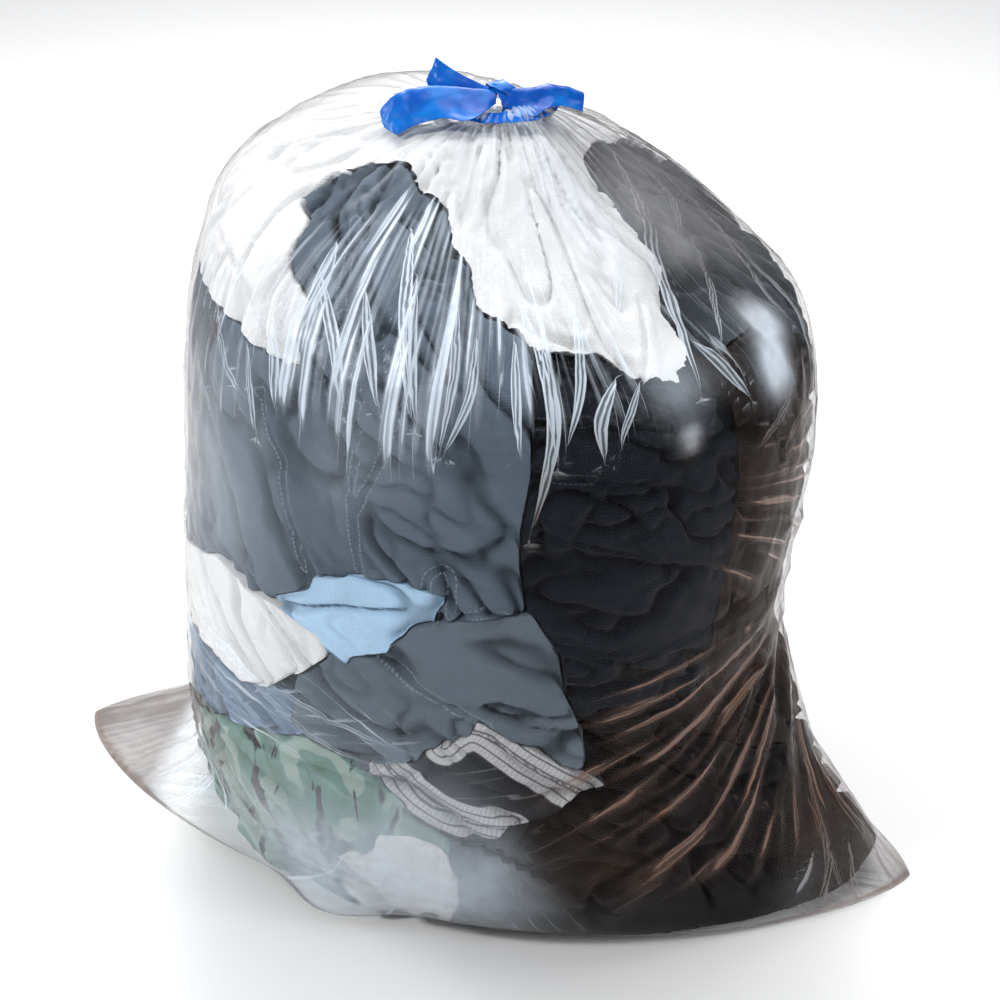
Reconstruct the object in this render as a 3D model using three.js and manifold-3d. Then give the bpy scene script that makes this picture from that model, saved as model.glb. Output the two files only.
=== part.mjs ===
// A clear drawstring bin bag, filled with clothes and tied shut with its own blue tape.
// Millimetres, +Z up. The bag stands on z = 0, its front is -Y, and its two bottom corners
// stick out along X. Turns are in degrees about Z, from +X: -90 is the front, 180 the left.
import * as THREE from 'three';
import { TessellateModifier } from 'three/addons/modifiers/TessellateModifier.js';
import { mergeVertices } from 'three/addons/utils/BufferGeometryUtils.js';
import Module from 'manifold-3d';

const wasm = await Module();
wasm.setup();

// Film: a 762 mm wide, 940 mm long bag, so 1524 mm round its middle.
const filmWall = 1; // stands for film 0.03 mm thick
const filmSides = 48;

// Clothes
const clothesSides = 36;
const garmentGap = 1.6; // between one garment and the next
const wedgeInner = 60;
const wedgeOuter = 340;
const sideRadius = 235;
const outlineStep = 15; // degrees, the longest stretch of an outline without a point
const heightUnit = 25; // millimetres of height that count as one degree when it is split
const wedgePasses = 8;

// The stack in the middle of the bag
const stackRadius = 110;
const stackLow = 8;
const stackHeight = 116;
const stackEdge = 14;
const stackSides = 12;

// Drawtape
const tapeWidth = 28;
const tapeThickness = 1.6; // stands for several layers of tape, gathered
const hemRadius = 46;
const hemHeight = 596;
const hemTapeWidth = 10;

// Rings of the bag from the floor up: height, reach to the left, right, front and rear,
// how far the sides pinch towards the corners, and how far the ring leans in X and in Y.
const bagRings = [
  [0, 170, 150, 75, 75, 1.3, 0, 0],
  [0, 300, 270, 135, 130, 1.4, 0, 0],
  [1.5, 372, 334, 166, 160, 1.45, 0, 0],
  [6, 379, 342, 176, 170, 1.5, 0, 0],
  [22, 335, 322, 194, 190, 1.5, 0, 0],
  [52, 272, 296, 210, 206, 1.35, 0, 0],
  [92, 258, 262, 224, 220, 1.12, 0, 0],
  [140, 254, 236, 232, 229, 1, 0, 0],
  [195, 250, 218, 235, 232, 1, 0, 0],
  [260, 247, 226, 237, 234, 1, 0, 0],
  [330, 240, 235, 237, 235, 1, 0, 0],
  [400, 235, 236, 233, 232, 1, 0, 0],
  [460, 227, 222, 222, 224, 1, -8, 8],
  [506, 210, 188, 196, 206, 1, -26, 16],
  [540, 182, 144, 158, 176, 1, -28, 20],
  [564, 138, 98, 112, 132, 1, -20, 16],
  [582, 84, 60, 66, 78, 1, -8, 4],
  [593, 40, 34, 34, 36, 1, 0, 0],
  [598, 22, 22, 22, 22, 1, 0, 0],
];

// Rings of the heap of clothes. It leaves the corners empty, and sinks under the right shoulder.
const heapRings = [
  [4, 205, 262, 110, 108, 1.15, 0, 0],
  [12, 246, 306, 160, 156, 1.25, 0, 0],
  [30, 254, 297, 182, 178, 1.2, 0, 0],
  [60, 251, 270, 202, 198, 1.15, 0, 0],
  [100, 250, 248, 216, 212, 1, 0, 0],
  [150, 247, 226, 225, 222, 1, 0, 0],
  [200, 244, 211, 228, 225, 1, 0, 0],
  [265, 241, 220, 231, 228, 1, 0, 0],
  [335, 234, 229, 230, 228, 1, 0, 0],
  [400, 228, 226, 226, 225, 1, 0, 0],
  [455, 220, 202, 214, 218, 1, -6, 6],
  [500, 202, 158, 188, 200, 1, -14, 14],
  [534, 174, 114, 150, 170, 1, -14, 14],
  [558, 130, 78, 103, 124, 1, -10, 10],
  [575, 80, 50, 60, 74, 1, -3, 3],
  [586, 36, 28, 30, 32, 1, 0, 0],
];

// Local swellings and hollows of the bag and the heap: turn, height, reach in degrees, reach in
// height, and how far out.
const swellings = [
  [94, 580, 40, 30, -44],
  [66, 540, 26, 30, -20],
  [38, 505, 24, 40, -10],
  [170, 570, 20, 22, -10],
  [-111, 5, 12, 20, 26],
  [20, 72, 16, 34, -10],
];
const hollowUnderShoulder = [8, 540, 40, 44, -24]; // in the heap alone
const heapSwellings = [...swellings, hollowUnderShoulder];
const swellingFullRadius = 120;

// Outlines of the garments where they meet the film, as points of [turn, height].
// A garment is cut by those before it in the list.
const garments = [
  {
    name: 'light_blue_shirt', colour: 0xa5cdeb,
    outline: [[-113, 294], [-104, 321], [-97, 331], [-88, 331], [-80, 321],
      [-82, 304], [-87, 293], [-90, 277], [-98, 259], [-103, 275]],
  },
  {
    name: 'white_tshirt', colour: 0xeeeeee,
    outline: [[-190, 258], [-149, 269], [-131, 295], [-121, 287], [-113, 286],
      [-103, 276], [-102, 260], [-117, 212], [-124, 203], [-134, 211], [-155, 195], [-190, 186]],
  },
  {
    name: 'striped_knit', colour: 0x9a9a9a,
    outline: [[-95, 178], [-84, 197], [-75, 228], [-60, 182], [-52, 160],
      [-60, 148], [-71, 126], [-80, 125], [-88, 152]],
  },
  {
    name: 'charcoal_sweater', colour: 0x45484c,
    outline: [[-111, 192], [-109, 250], [-103, 280], [-95, 290], [-80, 306], [-66, 314],
      [-60, 244], [-56, 180], [-75, 170], [-95, 170]],
  },
  {
    name: 'slate_jacket', colour: 0x4d5a66,
    outline: [[-205, 458], [-170, 474], [-159, 479], [-139, 474], [-125, 464], [-113, 456],
      [-109, 461], [-113, 495], [-127, 531], [-139, 553], [-132, 559], [-123, 562],
      [-100, 551], [-86, 529], [-77, 499], [-65, 470], [-66, 412], [-68, 350], [-67, 300],
      [-110, 270], [-149, 258], [-190, 250], [-205, 262]],
  },
  {
    name: 'navy_trousers', colour: 0x1d2836,
    outline: [[-75, 484], [-53, 469], [-46, 447], [-36, 437], [-28, 430], [-27, 380], [-30, 205],
      [-45, 213], [-62, 225], [-75, 277], [-75, 330]],
  },
  {
    name: 'denim_jeans', colour: 0x6e82a0,
    outline: [[-205, 260], [-190, 256], [-190, 190], [-155, 200], [-134, 215], [-117, 215],
      [-106, 214], [-106, 188], [-128, 161], [-150, 140], [-175, 118], [-205, 110]],
  },
  {
    name: 'white_cloth', colour: 0xdadada,
    outline: [[-121, -20], [-108, 70], [-94, 117], [-88, 123], [-81, 111], [-79, 57], [-84, -20]],
  },
  {
    name: 'camouflage_trousers', colour: 0x8ca5a0,
    outline: [[-205, 114], [-175, 122], [-150, 144], [-128, 165], [-106, 194], [-90, 182],
      [-80, 150], [-80, 110], [-90, 40], [-100, -20], [-205, -20]],
  },
  {
    name: 'brown_fleece', colour: 0x2e241e,
    outline: [[-36, 190], [-36, 450], [-12, 452], [0, 440], [22, 400], [32, 300],
      [32, 240], [22, 150], [-3, 112], [-20, 146]],
  },
  {
    name: 'grey_hoodie', colour: 0x5a5c60,
    outline: [[-36, 428], [-36, 437], [-30, 450], [-24, 480], [-12, 522], [13, 557],
      [35, 556], [58, 530], [62, 440], [28, 300], [0, 380]],
  },
  {
    name: 'black_trousers', colour: 0x18181a,
    outline: [[-84, -20], [-84, 150], [-45, 240], [-20, 215], [25, 180], [40, 112], [40, -20]],
  },
  {
    name: 'marl_sweatshirt', colour: 0x9ea0a4,
    outline: [[25, 300], [40, 535], [62, 532], [90, 505], [115, 493], [115, 300]],
  },
  {
    name: 'green_tshirt', colour: 0x2f4a3a,
    outline: [[115, 240], [115, 493], [135, 487], [155, 458], [158, 240]],
  },
  {
    name: 'beige_jumper', colour: 0xb8a88e,
    outline: [[18, 120], [18, 300], [115, 300], [115, 140], [60, 130]],
  },
  {
    name: 'olive_trousers', colour: 0x5b5d43,
    outline: [[36, -20], [36, 130], [60, 132], [115, 142], [115, 240], [158, 240], [158, -20]],
  },
];

// Lower edge of the white shirt that lies over the top of the heap.
const shirtEdge = [[-170, 474], [-159, 479], [-139, 474], [-125, 464], [-113, 456], [-92, 470],
  [-75, 488], [-65, 473], [-51, 470], [-46, 447], [-36, 437], [-30, 450], [-24, 480], [-12, 522], [13, 557],
  [35, 556], [62, 532], [90, 505], [115, 493], [135, 487], [155, 459]];
const shirtTop = 700;
const shirtOuter = 250;

const stackPieces = [
  { name: 'folded_towel', colour: 0xc9b8a4 },
  { name: 'folded_shirts', colour: 0x7d8fa8 },
  { name: 'rolled_jumper', colour: 0x6b3f3a },
  { name: 'folded_bedding', colour: 0xd8d6d0 },
];
const stackTop = stackLow + stackPieces.length * stackHeight;

// Tape lines: each point is a place, the tape's half width there, and its width's direction.
const half = tapeWidth / 2;
const frontTape = {
  hem: [-176, -4],
  lines: [
    [[0, -hemRadius, hemHeight, 5, 1, 0, 0], [-2, -26, 601, 6, 1, 0, 0], [-4, -8, 606, 7, 1, 0, 0]],
    [[-4, -2, 607, 5, 0, 1, 0.2], [-26, -6, 608, 10, 0, 1, 0.25], [-56, -14, 606, half, 0.2, 1, 0.2],
      [-80, -20, 601, half, 0.3, 1, 0.1], [-90, -22, 598, 9, 0.3, 1, 0.1]],
    [[-4, 0, 609, 5, 0, 1, 0.3], [-22, 8, 616, 9, 0.3, 0.6, 0.6], [-36, 18, 623, 9, 0.6, 0.2, 0.5],
      [-43, 24, 629, 3, 0.6, 0.2, 0.5]],
  ],
};
const rearTape = {
  hem: [4, 176],
  lines: [
    [[0, hemRadius, hemHeight, 5, 1, 0, 0], [9, 24, 599, 6, 1, 0.4, 0], [20, 8, 601, 7, 0.4, 1, 0]],
    [[16, 9, 601, 5, 0, 1, 0], [34, 9, 604, 11, 0, 1, 0.2], [48, 10, 600, 10, 0, 1, 0.1],
      [66, 13, 606, 12, 0.3, 1, 0.2]],
  ],
};
const knot = { centre: [-3, -2, 607.5], reach: [13, 9.5, 6.5], sides: 12 };

const turnOf = (degrees) => THREE.MathUtils.degToRad(degrees);

function ringPoint([z, left, right, front, rear, pinch, leanX, leanY], turn) {
  const across = Math.cos(turn);
  const along = Math.sin(turn);
  const x = (across < 0 ? left : right) * across;
  const y = (along < 0 ? front : rear) * Math.sign(along) * Math.abs(along) ** pinch;
  return new THREE.Vector3(x, y, z + leanX * across + leanY * along);
}

function swell(point, places) {
  const turn = THREE.MathUtils.radToDeg(Math.atan2(point.y, point.x));
  const radius = Math.hypot(point.x, point.y);
  const out = places.reduce((sum, [middle, height, reachTurn, reachHeight, most]) => {
    const aside = THREE.MathUtils.euclideanModulo(turn - middle + 180, 360) - 180;
    const away = (aside / reachTurn) ** 2 + ((point.z - height) / reachHeight) ** 2;
    return sum + most * Math.exp(-away);
  }, 0);
  const scale = 1 + (out * Math.min(1, radius / swellingFullRadius) ** 2) / radius;
  return new THREE.Vector3(point.x * scale, point.y * scale, point.z);
}

function ringGrid(rings, sides, places) {
  const turns = Array.from({ length: sides }, (_, i) => (2 * Math.PI * i) / sides);
  return rings.map((ring) => turns.map((turn) => swell(ringPoint(ring, turn), places)));
}

// The same grid moved inwards, square to its surface.
function insetGrid(grid, distance) {
  const sides = grid[0].length;
  return grid.map((ring, row) => ring.map((point, i) => {
    const below = grid[Math.max(row - 1, 0)][i];
    const above = grid[Math.min(row + 1, grid.length - 1)][i];
    const around = ring[(i + 1) % sides].clone().sub(ring[(i + sides - 1) % sides]);
    const outward = around.cross(above.clone().sub(below)).normalize();
    return point.clone().addScaledVector(outward, -distance);
  }));
}

function geometryOf(points, triangles) {
  const geometry = new THREE.BufferGeometry().setFromPoints(points);
  geometry.setIndex(triangles);
  return geometry;
}

// Joins two rings of point numbers with triangles that face out when the second lies above.
// A mirrored band splits its squares along their other diagonal.
function band(triangles, lower, upper, mirrored = false) {
  lower.forEach((a, i) => {
    const b = lower[(i + 1) % lower.length];
    const c = upper[(i + 1) % upper.length];
    const d = upper[i];
    triangles.push(...(mirrored ? [a, b, d, b, c, d] : [a, b, c, a, c, d]));
  });
}

// Closes a ring of point numbers onto one point.
function fan(triangles, ring, centre) {
  ring.forEach((a, i) => triangles.push(a, centre, ring[(i + 1) % ring.length]));
}

function numbered(grid) {
  const sides = grid[0].length;
  return grid.map((ring, row) => ring.map((_, i) => row * sides + i));
}

function middleOf(ring) {
  const sum = ring.reduce((total, point) => total.add(point), new THREE.Vector3());
  return sum.divideScalar(ring.length);
}

// A closed solid through a stack of rings.
function loftGeometry(grid) {
  const rows = numbered(grid);
  const points = [...grid.flat(), middleOf(grid[0]), middleOf(grid[grid.length - 1])];
  const triangles = [];
  rows.slice(1).forEach((row, i) => band(triangles, rows[i], row));
  fan(triangles, rows[0], points.length - 2);
  fan(triangles, [...rows[rows.length - 1]].reverse(), points.length - 1);
  return geometryOf(points, triangles);
}

// A bag: two walls that close under the base and meet round the open mouth.
function bagGeometry(outer, inner) {
  const rows = numbered(outer);
  const shift = outer.flat().length;
  const innerRows = rows.map((row) => row.map((n) => n + shift).reverse());
  const points = [...outer.flat(), ...inner.flat(), middleOf(outer[0]), middleOf(inner[0])];
  const triangles = [];
  rows.slice(1).forEach((row, i) => band(triangles, rows[i], row));
  innerRows.slice(1).forEach((row, i) => band(triangles, innerRows[i], row, true));
  fan(triangles, rows[0], points.length - 2);
  fan(triangles, innerRows[0], points.length - 1);
  band(triangles, rows[rows.length - 1], rows[rows.length - 1].map((n) => n + shift));
  return geometryOf(points, triangles);
}

function solidOf(geometry) {
  const bare = geometry.clone();
  bare.deleteAttribute('normal');
  bare.deleteAttribute('uv');
  const merged = mergeVertices(bare);
  const vertProperties = new Float32Array(merged.attributes.position.array);
  const triVerts = new Uint32Array(merged.index.array);
  return new wasm.Manifold(new wasm.Mesh({ numProp: 3, vertProperties, triVerts }));
}

// The largest body of a solid, as a geometry; crumbs that a cut leaves are dropped.
function geometryFrom(solid) {
  const bodies = solid.decompose().sort((a, b) => b.volume() - a.volume());
  const { vertProperties, triVerts } = bodies[0].getMesh();
  const geometry = new THREE.BufferGeometry();
  geometry.setAttribute('position', new THREE.BufferAttribute(vertProperties, 3));
  geometry.setIndex(new THREE.BufferAttribute(triVerts, 1));
  return geometry;
}

// Adds points to a line of [turn, height] so that it follows the round of the bag.
// The last point only ends the line.
function finerLine(line) {
  return line.slice(0, -1).flatMap(([turn, z], i) => {
    const [nextTurn, nextZ] = line[i + 1];
    const steps = Math.max(1, Math.ceil(Math.abs(nextTurn - turn) / outlineStep));
    return Array.from({ length: steps }, (_, k) => new THREE.Vector2(
      turn + ((nextTurn - turn) * k) / steps,
      z + ((nextZ - z) * k) / steps,
    ));
  });
}

// Moves an outline outwards by a distance measured on the bag's side.
function grownOutline(outline, distance) {
  const flat = outline.map(([turn, z]) => new THREE.Vector2(turnOf(turn) * sideRadius, z));
  const side = THREE.ShapeUtils.isClockWise(flat) ? -1 : 1;
  return flat.map((point, i) => {
    const before = flat[(i + flat.length - 1) % flat.length];
    const after = flat[(i + 1) % flat.length];
    const inEdge = point.clone().sub(before).normalize();
    const outEdge = after.clone().sub(point).normalize();
    const normal = new THREE.Vector2(inEdge.y + outEdge.y, -inEdge.x - outEdge.x).normalize();
    const spread = Math.max(normal.x * inEdge.y - normal.y * inEdge.x, 0.3);
    const moved = point.clone().addScaledVector(normal, (side * distance) / spread);
    return [THREE.MathUtils.radToDeg(moved.x / sideRadius), moved.y];
  });
}

// A block that runs outwards from the middle of the bag through an outline. It is made flat,
// with the turn as X, the height as Y and the way out as Z, then wrapped round the bag.
function wedge(outline, grow = 0) {
  const corners = grow > 0 ? grownOutline(outline, grow) : outline;
  const shape = new THREE.Shape(corners.map(([turn, z]) => new THREE.Vector2(turn, z / heightUnit)));
  const block = new THREE.ExtrudeGeometry(shape, { depth: 1, bevelEnabled: false });
  const fine = new TessellateModifier(outlineStep, wedgePasses).modify(block);
  const place = fine.attributes.position;
  for (let i = 0; i < place.count; i += 1) {
    const turn = turnOf(place.getX(i));
    const radius = THREE.MathUtils.lerp(wedgeInner - grow, wedgeOuter, place.getZ(i));
    place.setXYZ(i, radius * Math.cos(turn), radius * Math.sin(turn), place.getY(i) * heightUnit);
  }
  return solidOf(fine);
}

// Everything above the white shirt's lower edge.
function aboveShirtEdge() {
  const [firstTurn, firstHeight] = shirtEdge[0];
  const edge = finerLine([...shirtEdge, [firstTurn + 360, firstHeight]]);
  const at = (radius, heightOf) => edge.map((p) => new THREE.Vector3(
    radius * Math.cos(turnOf(p.x)),
    radius * Math.sin(turnOf(p.x)),
    heightOf(p.y),
  ));
  const underside = stackTop + garmentGap;
  const grid = [
    at(wedgeInner, (z) => Math.max(z, underside)),
    at(shirtOuter, (z) => z),
    at(shirtOuter, () => shirtTop),
  ];
  const rows = numbered(grid);
  const centres = [new THREE.Vector3(0, 0, underside), new THREE.Vector3(0, 0, shirtTop)];
  const points = [...grid.flat(), ...centres];
  const triangles = [];
  band(triangles, rows[0], rows[1]);
  band(triangles, rows[1], rows[2]);
  fan(triangles, rows[0], points.length - 2);
  fan(triangles, [...rows[2]].reverse(), points.length - 1);
  return solidOf(geometryOf(points, triangles));
}

// A drum with chamfered edges round the Z axis.
function drum(radius, low, high, edge) {
  const profile = [[0, low], [radius - edge, low], [radius, low + edge],
    [radius, high - edge], [radius - edge, high], [0, high]];
  const points = profile.map(([r, z]) => new THREE.Vector2(r, z));
  const geometry = new THREE.LatheGeometry(points, stackSides);
  return geometry.rotateX(Math.PI / 2);
}

// A flat strip along a line of points, each with a half width and a direction for its width.
function strip(line) {
  const places = line.map(([x, y, z]) => new THREE.Vector3(x, y, z));
  const grid = places.map((place, i) => {
    const [, , , reach, sx, sy, sz] = line[i];
    const before = places[Math.max(i - 1, 0)];
    const after = places[Math.min(i + 1, places.length - 1)];
    const way = after.clone().sub(before).normalize();
    const side = new THREE.Vector3(sx, sy, sz).normalize();
    const up = way.cross(side).normalize().multiplyScalar(tapeThickness / 2);
    const corner = (a, b) => place.clone().addScaledVector(side, a * reach).addScaledVector(up, b);
    return [corner(-1, -1), corner(1, -1), corner(1, 1), corner(-1, 1)];
  });
  const solid = solidOf(loftGeometry(grid));
  return solid.volume() > 0 ? solid : solidOf(loftGeometry(grid.map((ring) => ring.reverse())));
}

function hemStrip([from, to]) {
  const steps = 12;
  return strip(Array.from({ length: steps + 1 }, (_, i) => {
    const turn = turnOf(from + ((to - from) * i) / steps);
    const outX = Math.cos(turn);
    const outY = Math.sin(turn);
    return [hemRadius * outX, hemRadius * outY, hemHeight, hemTapeWidth / 2, outX, outY, 0];
  }));
}

function tapeSolid({ hem, lines }) {
  return lines.map(strip).reduce((all, piece) => all.add(piece), hemStrip(hem));
}

function knotSolid() {
  const ball = new THREE.SphereGeometry(1, knot.sides, knot.sides / 2).scale(...knot.reach);
  return solidOf(ball.translate(...knot.centre));
}

const group = new THREE.Group();

function addPiece(name, geometry, colour, look = {}) {
  const material = new THREE.MeshStandardMaterial({ color: colour, roughness: 0.9, metalness: 0, ...look });
  const mesh = new THREE.Mesh(geometry, material);
  mesh.name = name;
  group.add(mesh);
}

function addFilm() {
  const outer = ringGrid(bagRings, filmSides, swellings);
  const inner = insetGrid(outer, filmWall);
  const look = { roughness: 0.15, transparent: true, opacity: 0.3 };
  addPiece('bag_film', bagGeometry(outer, inner), 0xdfe4e6, look);
}

function addTapes() {
  const look = { roughness: 0.3 };
  addPiece('drawtape_front', geometryFrom(tapeSolid(frontTape).add(knotSolid())), 0x146edc, look);
  addPiece('drawtape_rear', geometryFrom(tapeSolid(rearTape)), 0x146edc, look);
}

// The heap that the clothes share, hollow where the stack stands.
function heapSolid() {
  const heap = solidOf(loftGeometry(ringGrid(heapRings, clothesSides, heapSwellings)));
  const stack = drum(stackRadius + garmentGap, stackLow - garmentGap, stackTop, stackEdge);
  return heap.subtract(solidOf(stack));
}

function addClothes() {
  let left = heapSolid();
  garments.forEach(({ name, colour, outline }) => {
    addPiece(name, geometryFrom(left.intersect(wedge(outline))), colour);
    left = left.subtract(wedge(outline, garmentGap));
  });
  addPiece('white_shirt', geometryFrom(left.intersect(aboveShirtEdge())), 0xf2f2f2);
}

function addStack() {
  stackPieces.forEach(({ name, colour }, i) => {
    const low = stackLow + i * stackHeight;
    const high = low + stackHeight - garmentGap;
    addPiece(name, geometryFrom(solidOf(drum(stackRadius, low, high, stackEdge))), colour);
  });
}

addFilm();
addTapes();
addClothes();
addStack();

export default group;
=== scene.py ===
import math
from collections import namedtuple

import bpy
import numpy as np
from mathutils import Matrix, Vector
from mathutils.bvhtree import BVHTree


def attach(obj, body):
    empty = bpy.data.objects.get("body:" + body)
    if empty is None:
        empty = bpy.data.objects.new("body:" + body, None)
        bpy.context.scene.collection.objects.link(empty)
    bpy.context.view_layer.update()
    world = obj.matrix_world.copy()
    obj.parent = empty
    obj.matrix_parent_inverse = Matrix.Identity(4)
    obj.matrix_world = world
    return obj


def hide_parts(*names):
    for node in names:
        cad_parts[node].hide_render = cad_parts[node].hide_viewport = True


# A clear drawstring bag full of clothes. Metres, +Z up, front at -Y, standing on z = 0.
# A turn is an angle about Z in degrees from +X: -90 is the front and 180 the left.
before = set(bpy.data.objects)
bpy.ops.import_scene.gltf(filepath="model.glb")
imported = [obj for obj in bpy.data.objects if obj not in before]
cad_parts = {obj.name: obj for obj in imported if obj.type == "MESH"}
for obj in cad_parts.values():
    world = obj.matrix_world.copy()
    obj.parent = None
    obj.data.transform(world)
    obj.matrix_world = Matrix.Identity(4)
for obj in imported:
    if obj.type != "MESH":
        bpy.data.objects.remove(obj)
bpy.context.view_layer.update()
mm = 0.001

camera = {
    "turn": 19,
    "height": 27,
    "distance": 1.6,
    "target": (0, 0, 0.28),
    "lens": 73.8,
}

# The bag's form, in millimetres: height, reach left, right, front and rear, how far the sides
# pinch towards the corners, and the lean of the ring in X and in Y.
bagForm = {
    "rings": [
        (0, 0, 0, 0, 0, 1.3, 0, 0),
        (0, 170, 150, 75, 75, 1.3, 0, 0),
        (0, 300, 270, 135, 130, 1.4, 0, 0),
        (1.5, 372, 334, 166, 160, 1.45, 0, 0),
        (6, 379, 342, 176, 170, 1.5, 0, 0),
        (22, 335, 322, 194, 190, 1.5, 0, 0),
        (52, 272, 296, 210, 206, 1.35, 0, 0),
        (92, 258, 262, 224, 220, 1.12, 0, 0),
        (140, 254, 236, 232, 229, 1, 0, 0),
        (195, 250, 218, 235, 232, 1, 0, 0),
        (260, 247, 226, 237, 234, 1, 0, 0),
        (330, 240, 235, 237, 235, 1, 0, 0),
        (400, 235, 236, 233, 232, 1, 0, 0),
        (460, 227, 222, 222, 224, 1, -8, 8),
        (506, 210, 188, 196, 206, 1, -26, 16),
        (540, 182, 144, 158, 176, 1, -28, 20),
        (564, 138, 98, 112, 132, 1, -20, 16),
        (582, 84, 60, 66, 78, 1, -8, 4),
        (591, 40, 34, 36, 38, 1, 0, 0),
        (594, 17, 17, 17, 17, 1, 0, 0),
        (597, 15, 15, 15, 15, 1, 0, 0),
        (600, 20, 20, 20, 20, 1, 0, 0),
        (601.5, 28, 28, 28, 28, 1, 0, 0),
        (600, 36, 36, 36, 36, 1, 0, 0),
        (595, 40, 40, 40, 40, 1, 0, 0),
        (590, 39, 39, 39, 39, 1, 0, 0),
    ],
    # local swellings and hollows: turn, height, reach in degrees and in height, how far out
    "swellings": [
        (94, 580, 40, 30, -44),
        (66, 540, 26, 30, -20),
        (38, 505, 24, 40, -10),
        (170, 570, 20, 22, -10),
        (-111, 5, 12, 20, 26),
        (20, 72, 16, 34, -10),
    ],
    "foldRing": 4,
    "neckRing": 18,
    "hemRing": 20,
    "rowsTo": [(0, 0), (3, 12), (4.6, 24), (17, 104), (20, 116), (25, 132)],
    "aroundSteps": 360,
    "frontTurn": -70,
    "frontShare": 0.36,
    "round": 1.48,
    "wall": 0.0003,
    "knot": (0, 0, 0.602),
}


def deselectAll():
    bpy.ops.object.select_all(action="DESELECT")


def pick(piece):
    deselectAll()
    piece.select_set(True)
    bpy.context.view_layer.objects.active = piece


def editAll(piece):
    pick(piece)
    bpy.ops.object.mode_set(mode="EDIT")
    bpy.ops.mesh.select_all(action="SELECT")


def doneEditing():
    bpy.ops.object.mode_set(mode="OBJECT")


# The places of a piece's points, or with "normal" their normals.
def placesOf(piece, kind="co"):
    values = np.empty(len(piece.data.vertices) * 3, np.float32)
    piece.data.vertices.foreach_get(kind, values)
    return values.reshape(-1, 3).astype(float)


def setPlaces(piece, places):
    piece.data.vertices.foreach_set("co", np.asarray(places, np.float32).ravel())
    piece.data.update()


def normalsOf(piece):
    return placesOf(piece, "normal")


# A piece's faces, for finding what lies near a place.
def wallOf(piece):
    mesh = piece.data
    return BVHTree.FromPolygons([v.co for v in mesh.vertices], [p.vertices for p in mesh.polygons])


# A value, or three, kept on each point of a piece for its material to read.
def setAttribute(piece, name, values):
    values = np.asarray(values, np.float32)
    kind, field = ("FLOAT", "value") if values.ndim == 1 else ("FLOAT_VECTOR", "vector")
    piece.data.attributes.new(name, kind, "POINT").data.foreach_set(field, values.ravel())


# A smooth step from 0 at start to 1 at end.
def ramp(values, start, end):
    t = np.clip((values - start) / (end - start), 0, 1)
    return t * t * (3 - 2 * t)


# How many degrees turns are from a middle turn, from -180 to 180.
def degreesFrom(turns, middle):
    return (turns - middle + 180) % 360 - 180


noiseDraw = np.random.RandomState(5)
noiseOrder = np.tile(noiseDraw.permutation(256), 3)
noiseSlopes = noiseDraw.normal(size=(256, 3))
noiseSlopes /= np.linalg.norm(noiseSlopes, axis=1, keepdims=True)


# Smooth noise from about -1 to 1, with one hill to each unit of places.
def waves(places, seed=0):
    places = places + seed * 17.31
    cell = np.floor(places).astype(int)
    part = places - cell
    ease = part ** 3 * (part * (part * 6 - 15) + 10)
    total = np.zeros(len(places))
    for corner in range(8):
        step = np.array([corner & 1, corner >> 1 & 1, corner >> 2 & 1])
        key = (cell + step) & 255
        key = noiseOrder[noiseOrder[noiseOrder[key[:, 0]] + key[:, 1]] + key[:, 2]]
        slope = ((part - step) * noiseSlopes[key]).sum(1)
        weight = np.where(step, ease, 1 - ease).prod(1)
        total += slope * weight
    return total * 1.6


# A flat grid one metre square, with its middle at the origin.
def newGrid(name, alongX, alongY):
    deselectAll()
    bpy.ops.mesh.primitive_grid_add(x_subdivisions=alongX, y_subdivisions=alongY, size=1)
    piece = bpy.context.object
    piece.name = name
    return piece


def applyModifiers(piece):
    pick(piece)
    for modifier in list(piece.modifiers):
        bpy.ops.object.modifier_apply(modifier=modifier.name)


# Thickness for a sheet: side 1 puts it all outside, and 0 half on each side.
def addWall(piece, thickness, side):
    solid = piece.modifiers.new("wall", "SOLIDIFY")
    solid.thickness = thickness
    solid.offset = side
    applyModifiers(piece)


def smoothShade(piece, angle):
    pick(piece)
    bpy.ops.object.shade_smooth_by_angle(angle=math.radians(angle))
    deselectAll()


# A colour as the eye sees it, from 0 to 1, for a shader.
def tint(red, green, blue):
    light = [c / 12.92 if c < 0.04 else ((c + 0.055) / 1.055) ** 2.4 for c in (red, green, blue)]
    return (*light, 1)


# A smooth line through rows of numbers, at t counted in rows.
def spline(rows, t):
    rows = np.asarray(rows, float)
    t = np.clip(np.asarray(t, float), 0, len(rows) - 1.000001)
    i = t.astype(int)
    f = (t - i).reshape((-1,) + (1,) * (rows.ndim - 1))
    a, b, c, d = (rows[np.clip(i + k, 0, len(rows) - 1)] for k in (-1, 0, 1, 2))
    return b + 0.5 * f * (c - a + f * (2 * a - 5 * b + 4 * c - d + f * (3 * (b - c) + d - a)))


# Points on rings, in metres: one ring and one turn in radians for each point.
def ringPlaces(rings, turns):
    z, left, right, front, rear, pinch, leanX, leanY = rings.T
    c, s = np.cos(turns), np.sin(turns)
    x = np.where(c < 0, left, right) * c
    y = np.where(s < 0, front, rear) * np.sign(s) * np.abs(s) ** pinch
    z = np.maximum(z + leanX * c + leanY * s, 0)
    radius = np.hypot(x, y) + 1e-6
    out = np.zeros(len(z))
    for turn, height, wide, tall, most in bagForm["swellings"]:
        aside = degreesFrom(np.degrees(np.arctan2(y, x)), turn)
        out += most * np.exp(-(aside / wide) ** 2 - ((z - height) / tall) ** 2)
    scale = 1 + out * np.minimum(1, radius / 120) ** 2 / radius
    return np.stack([x * scale, y * scale, z], 1) * mm


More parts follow.
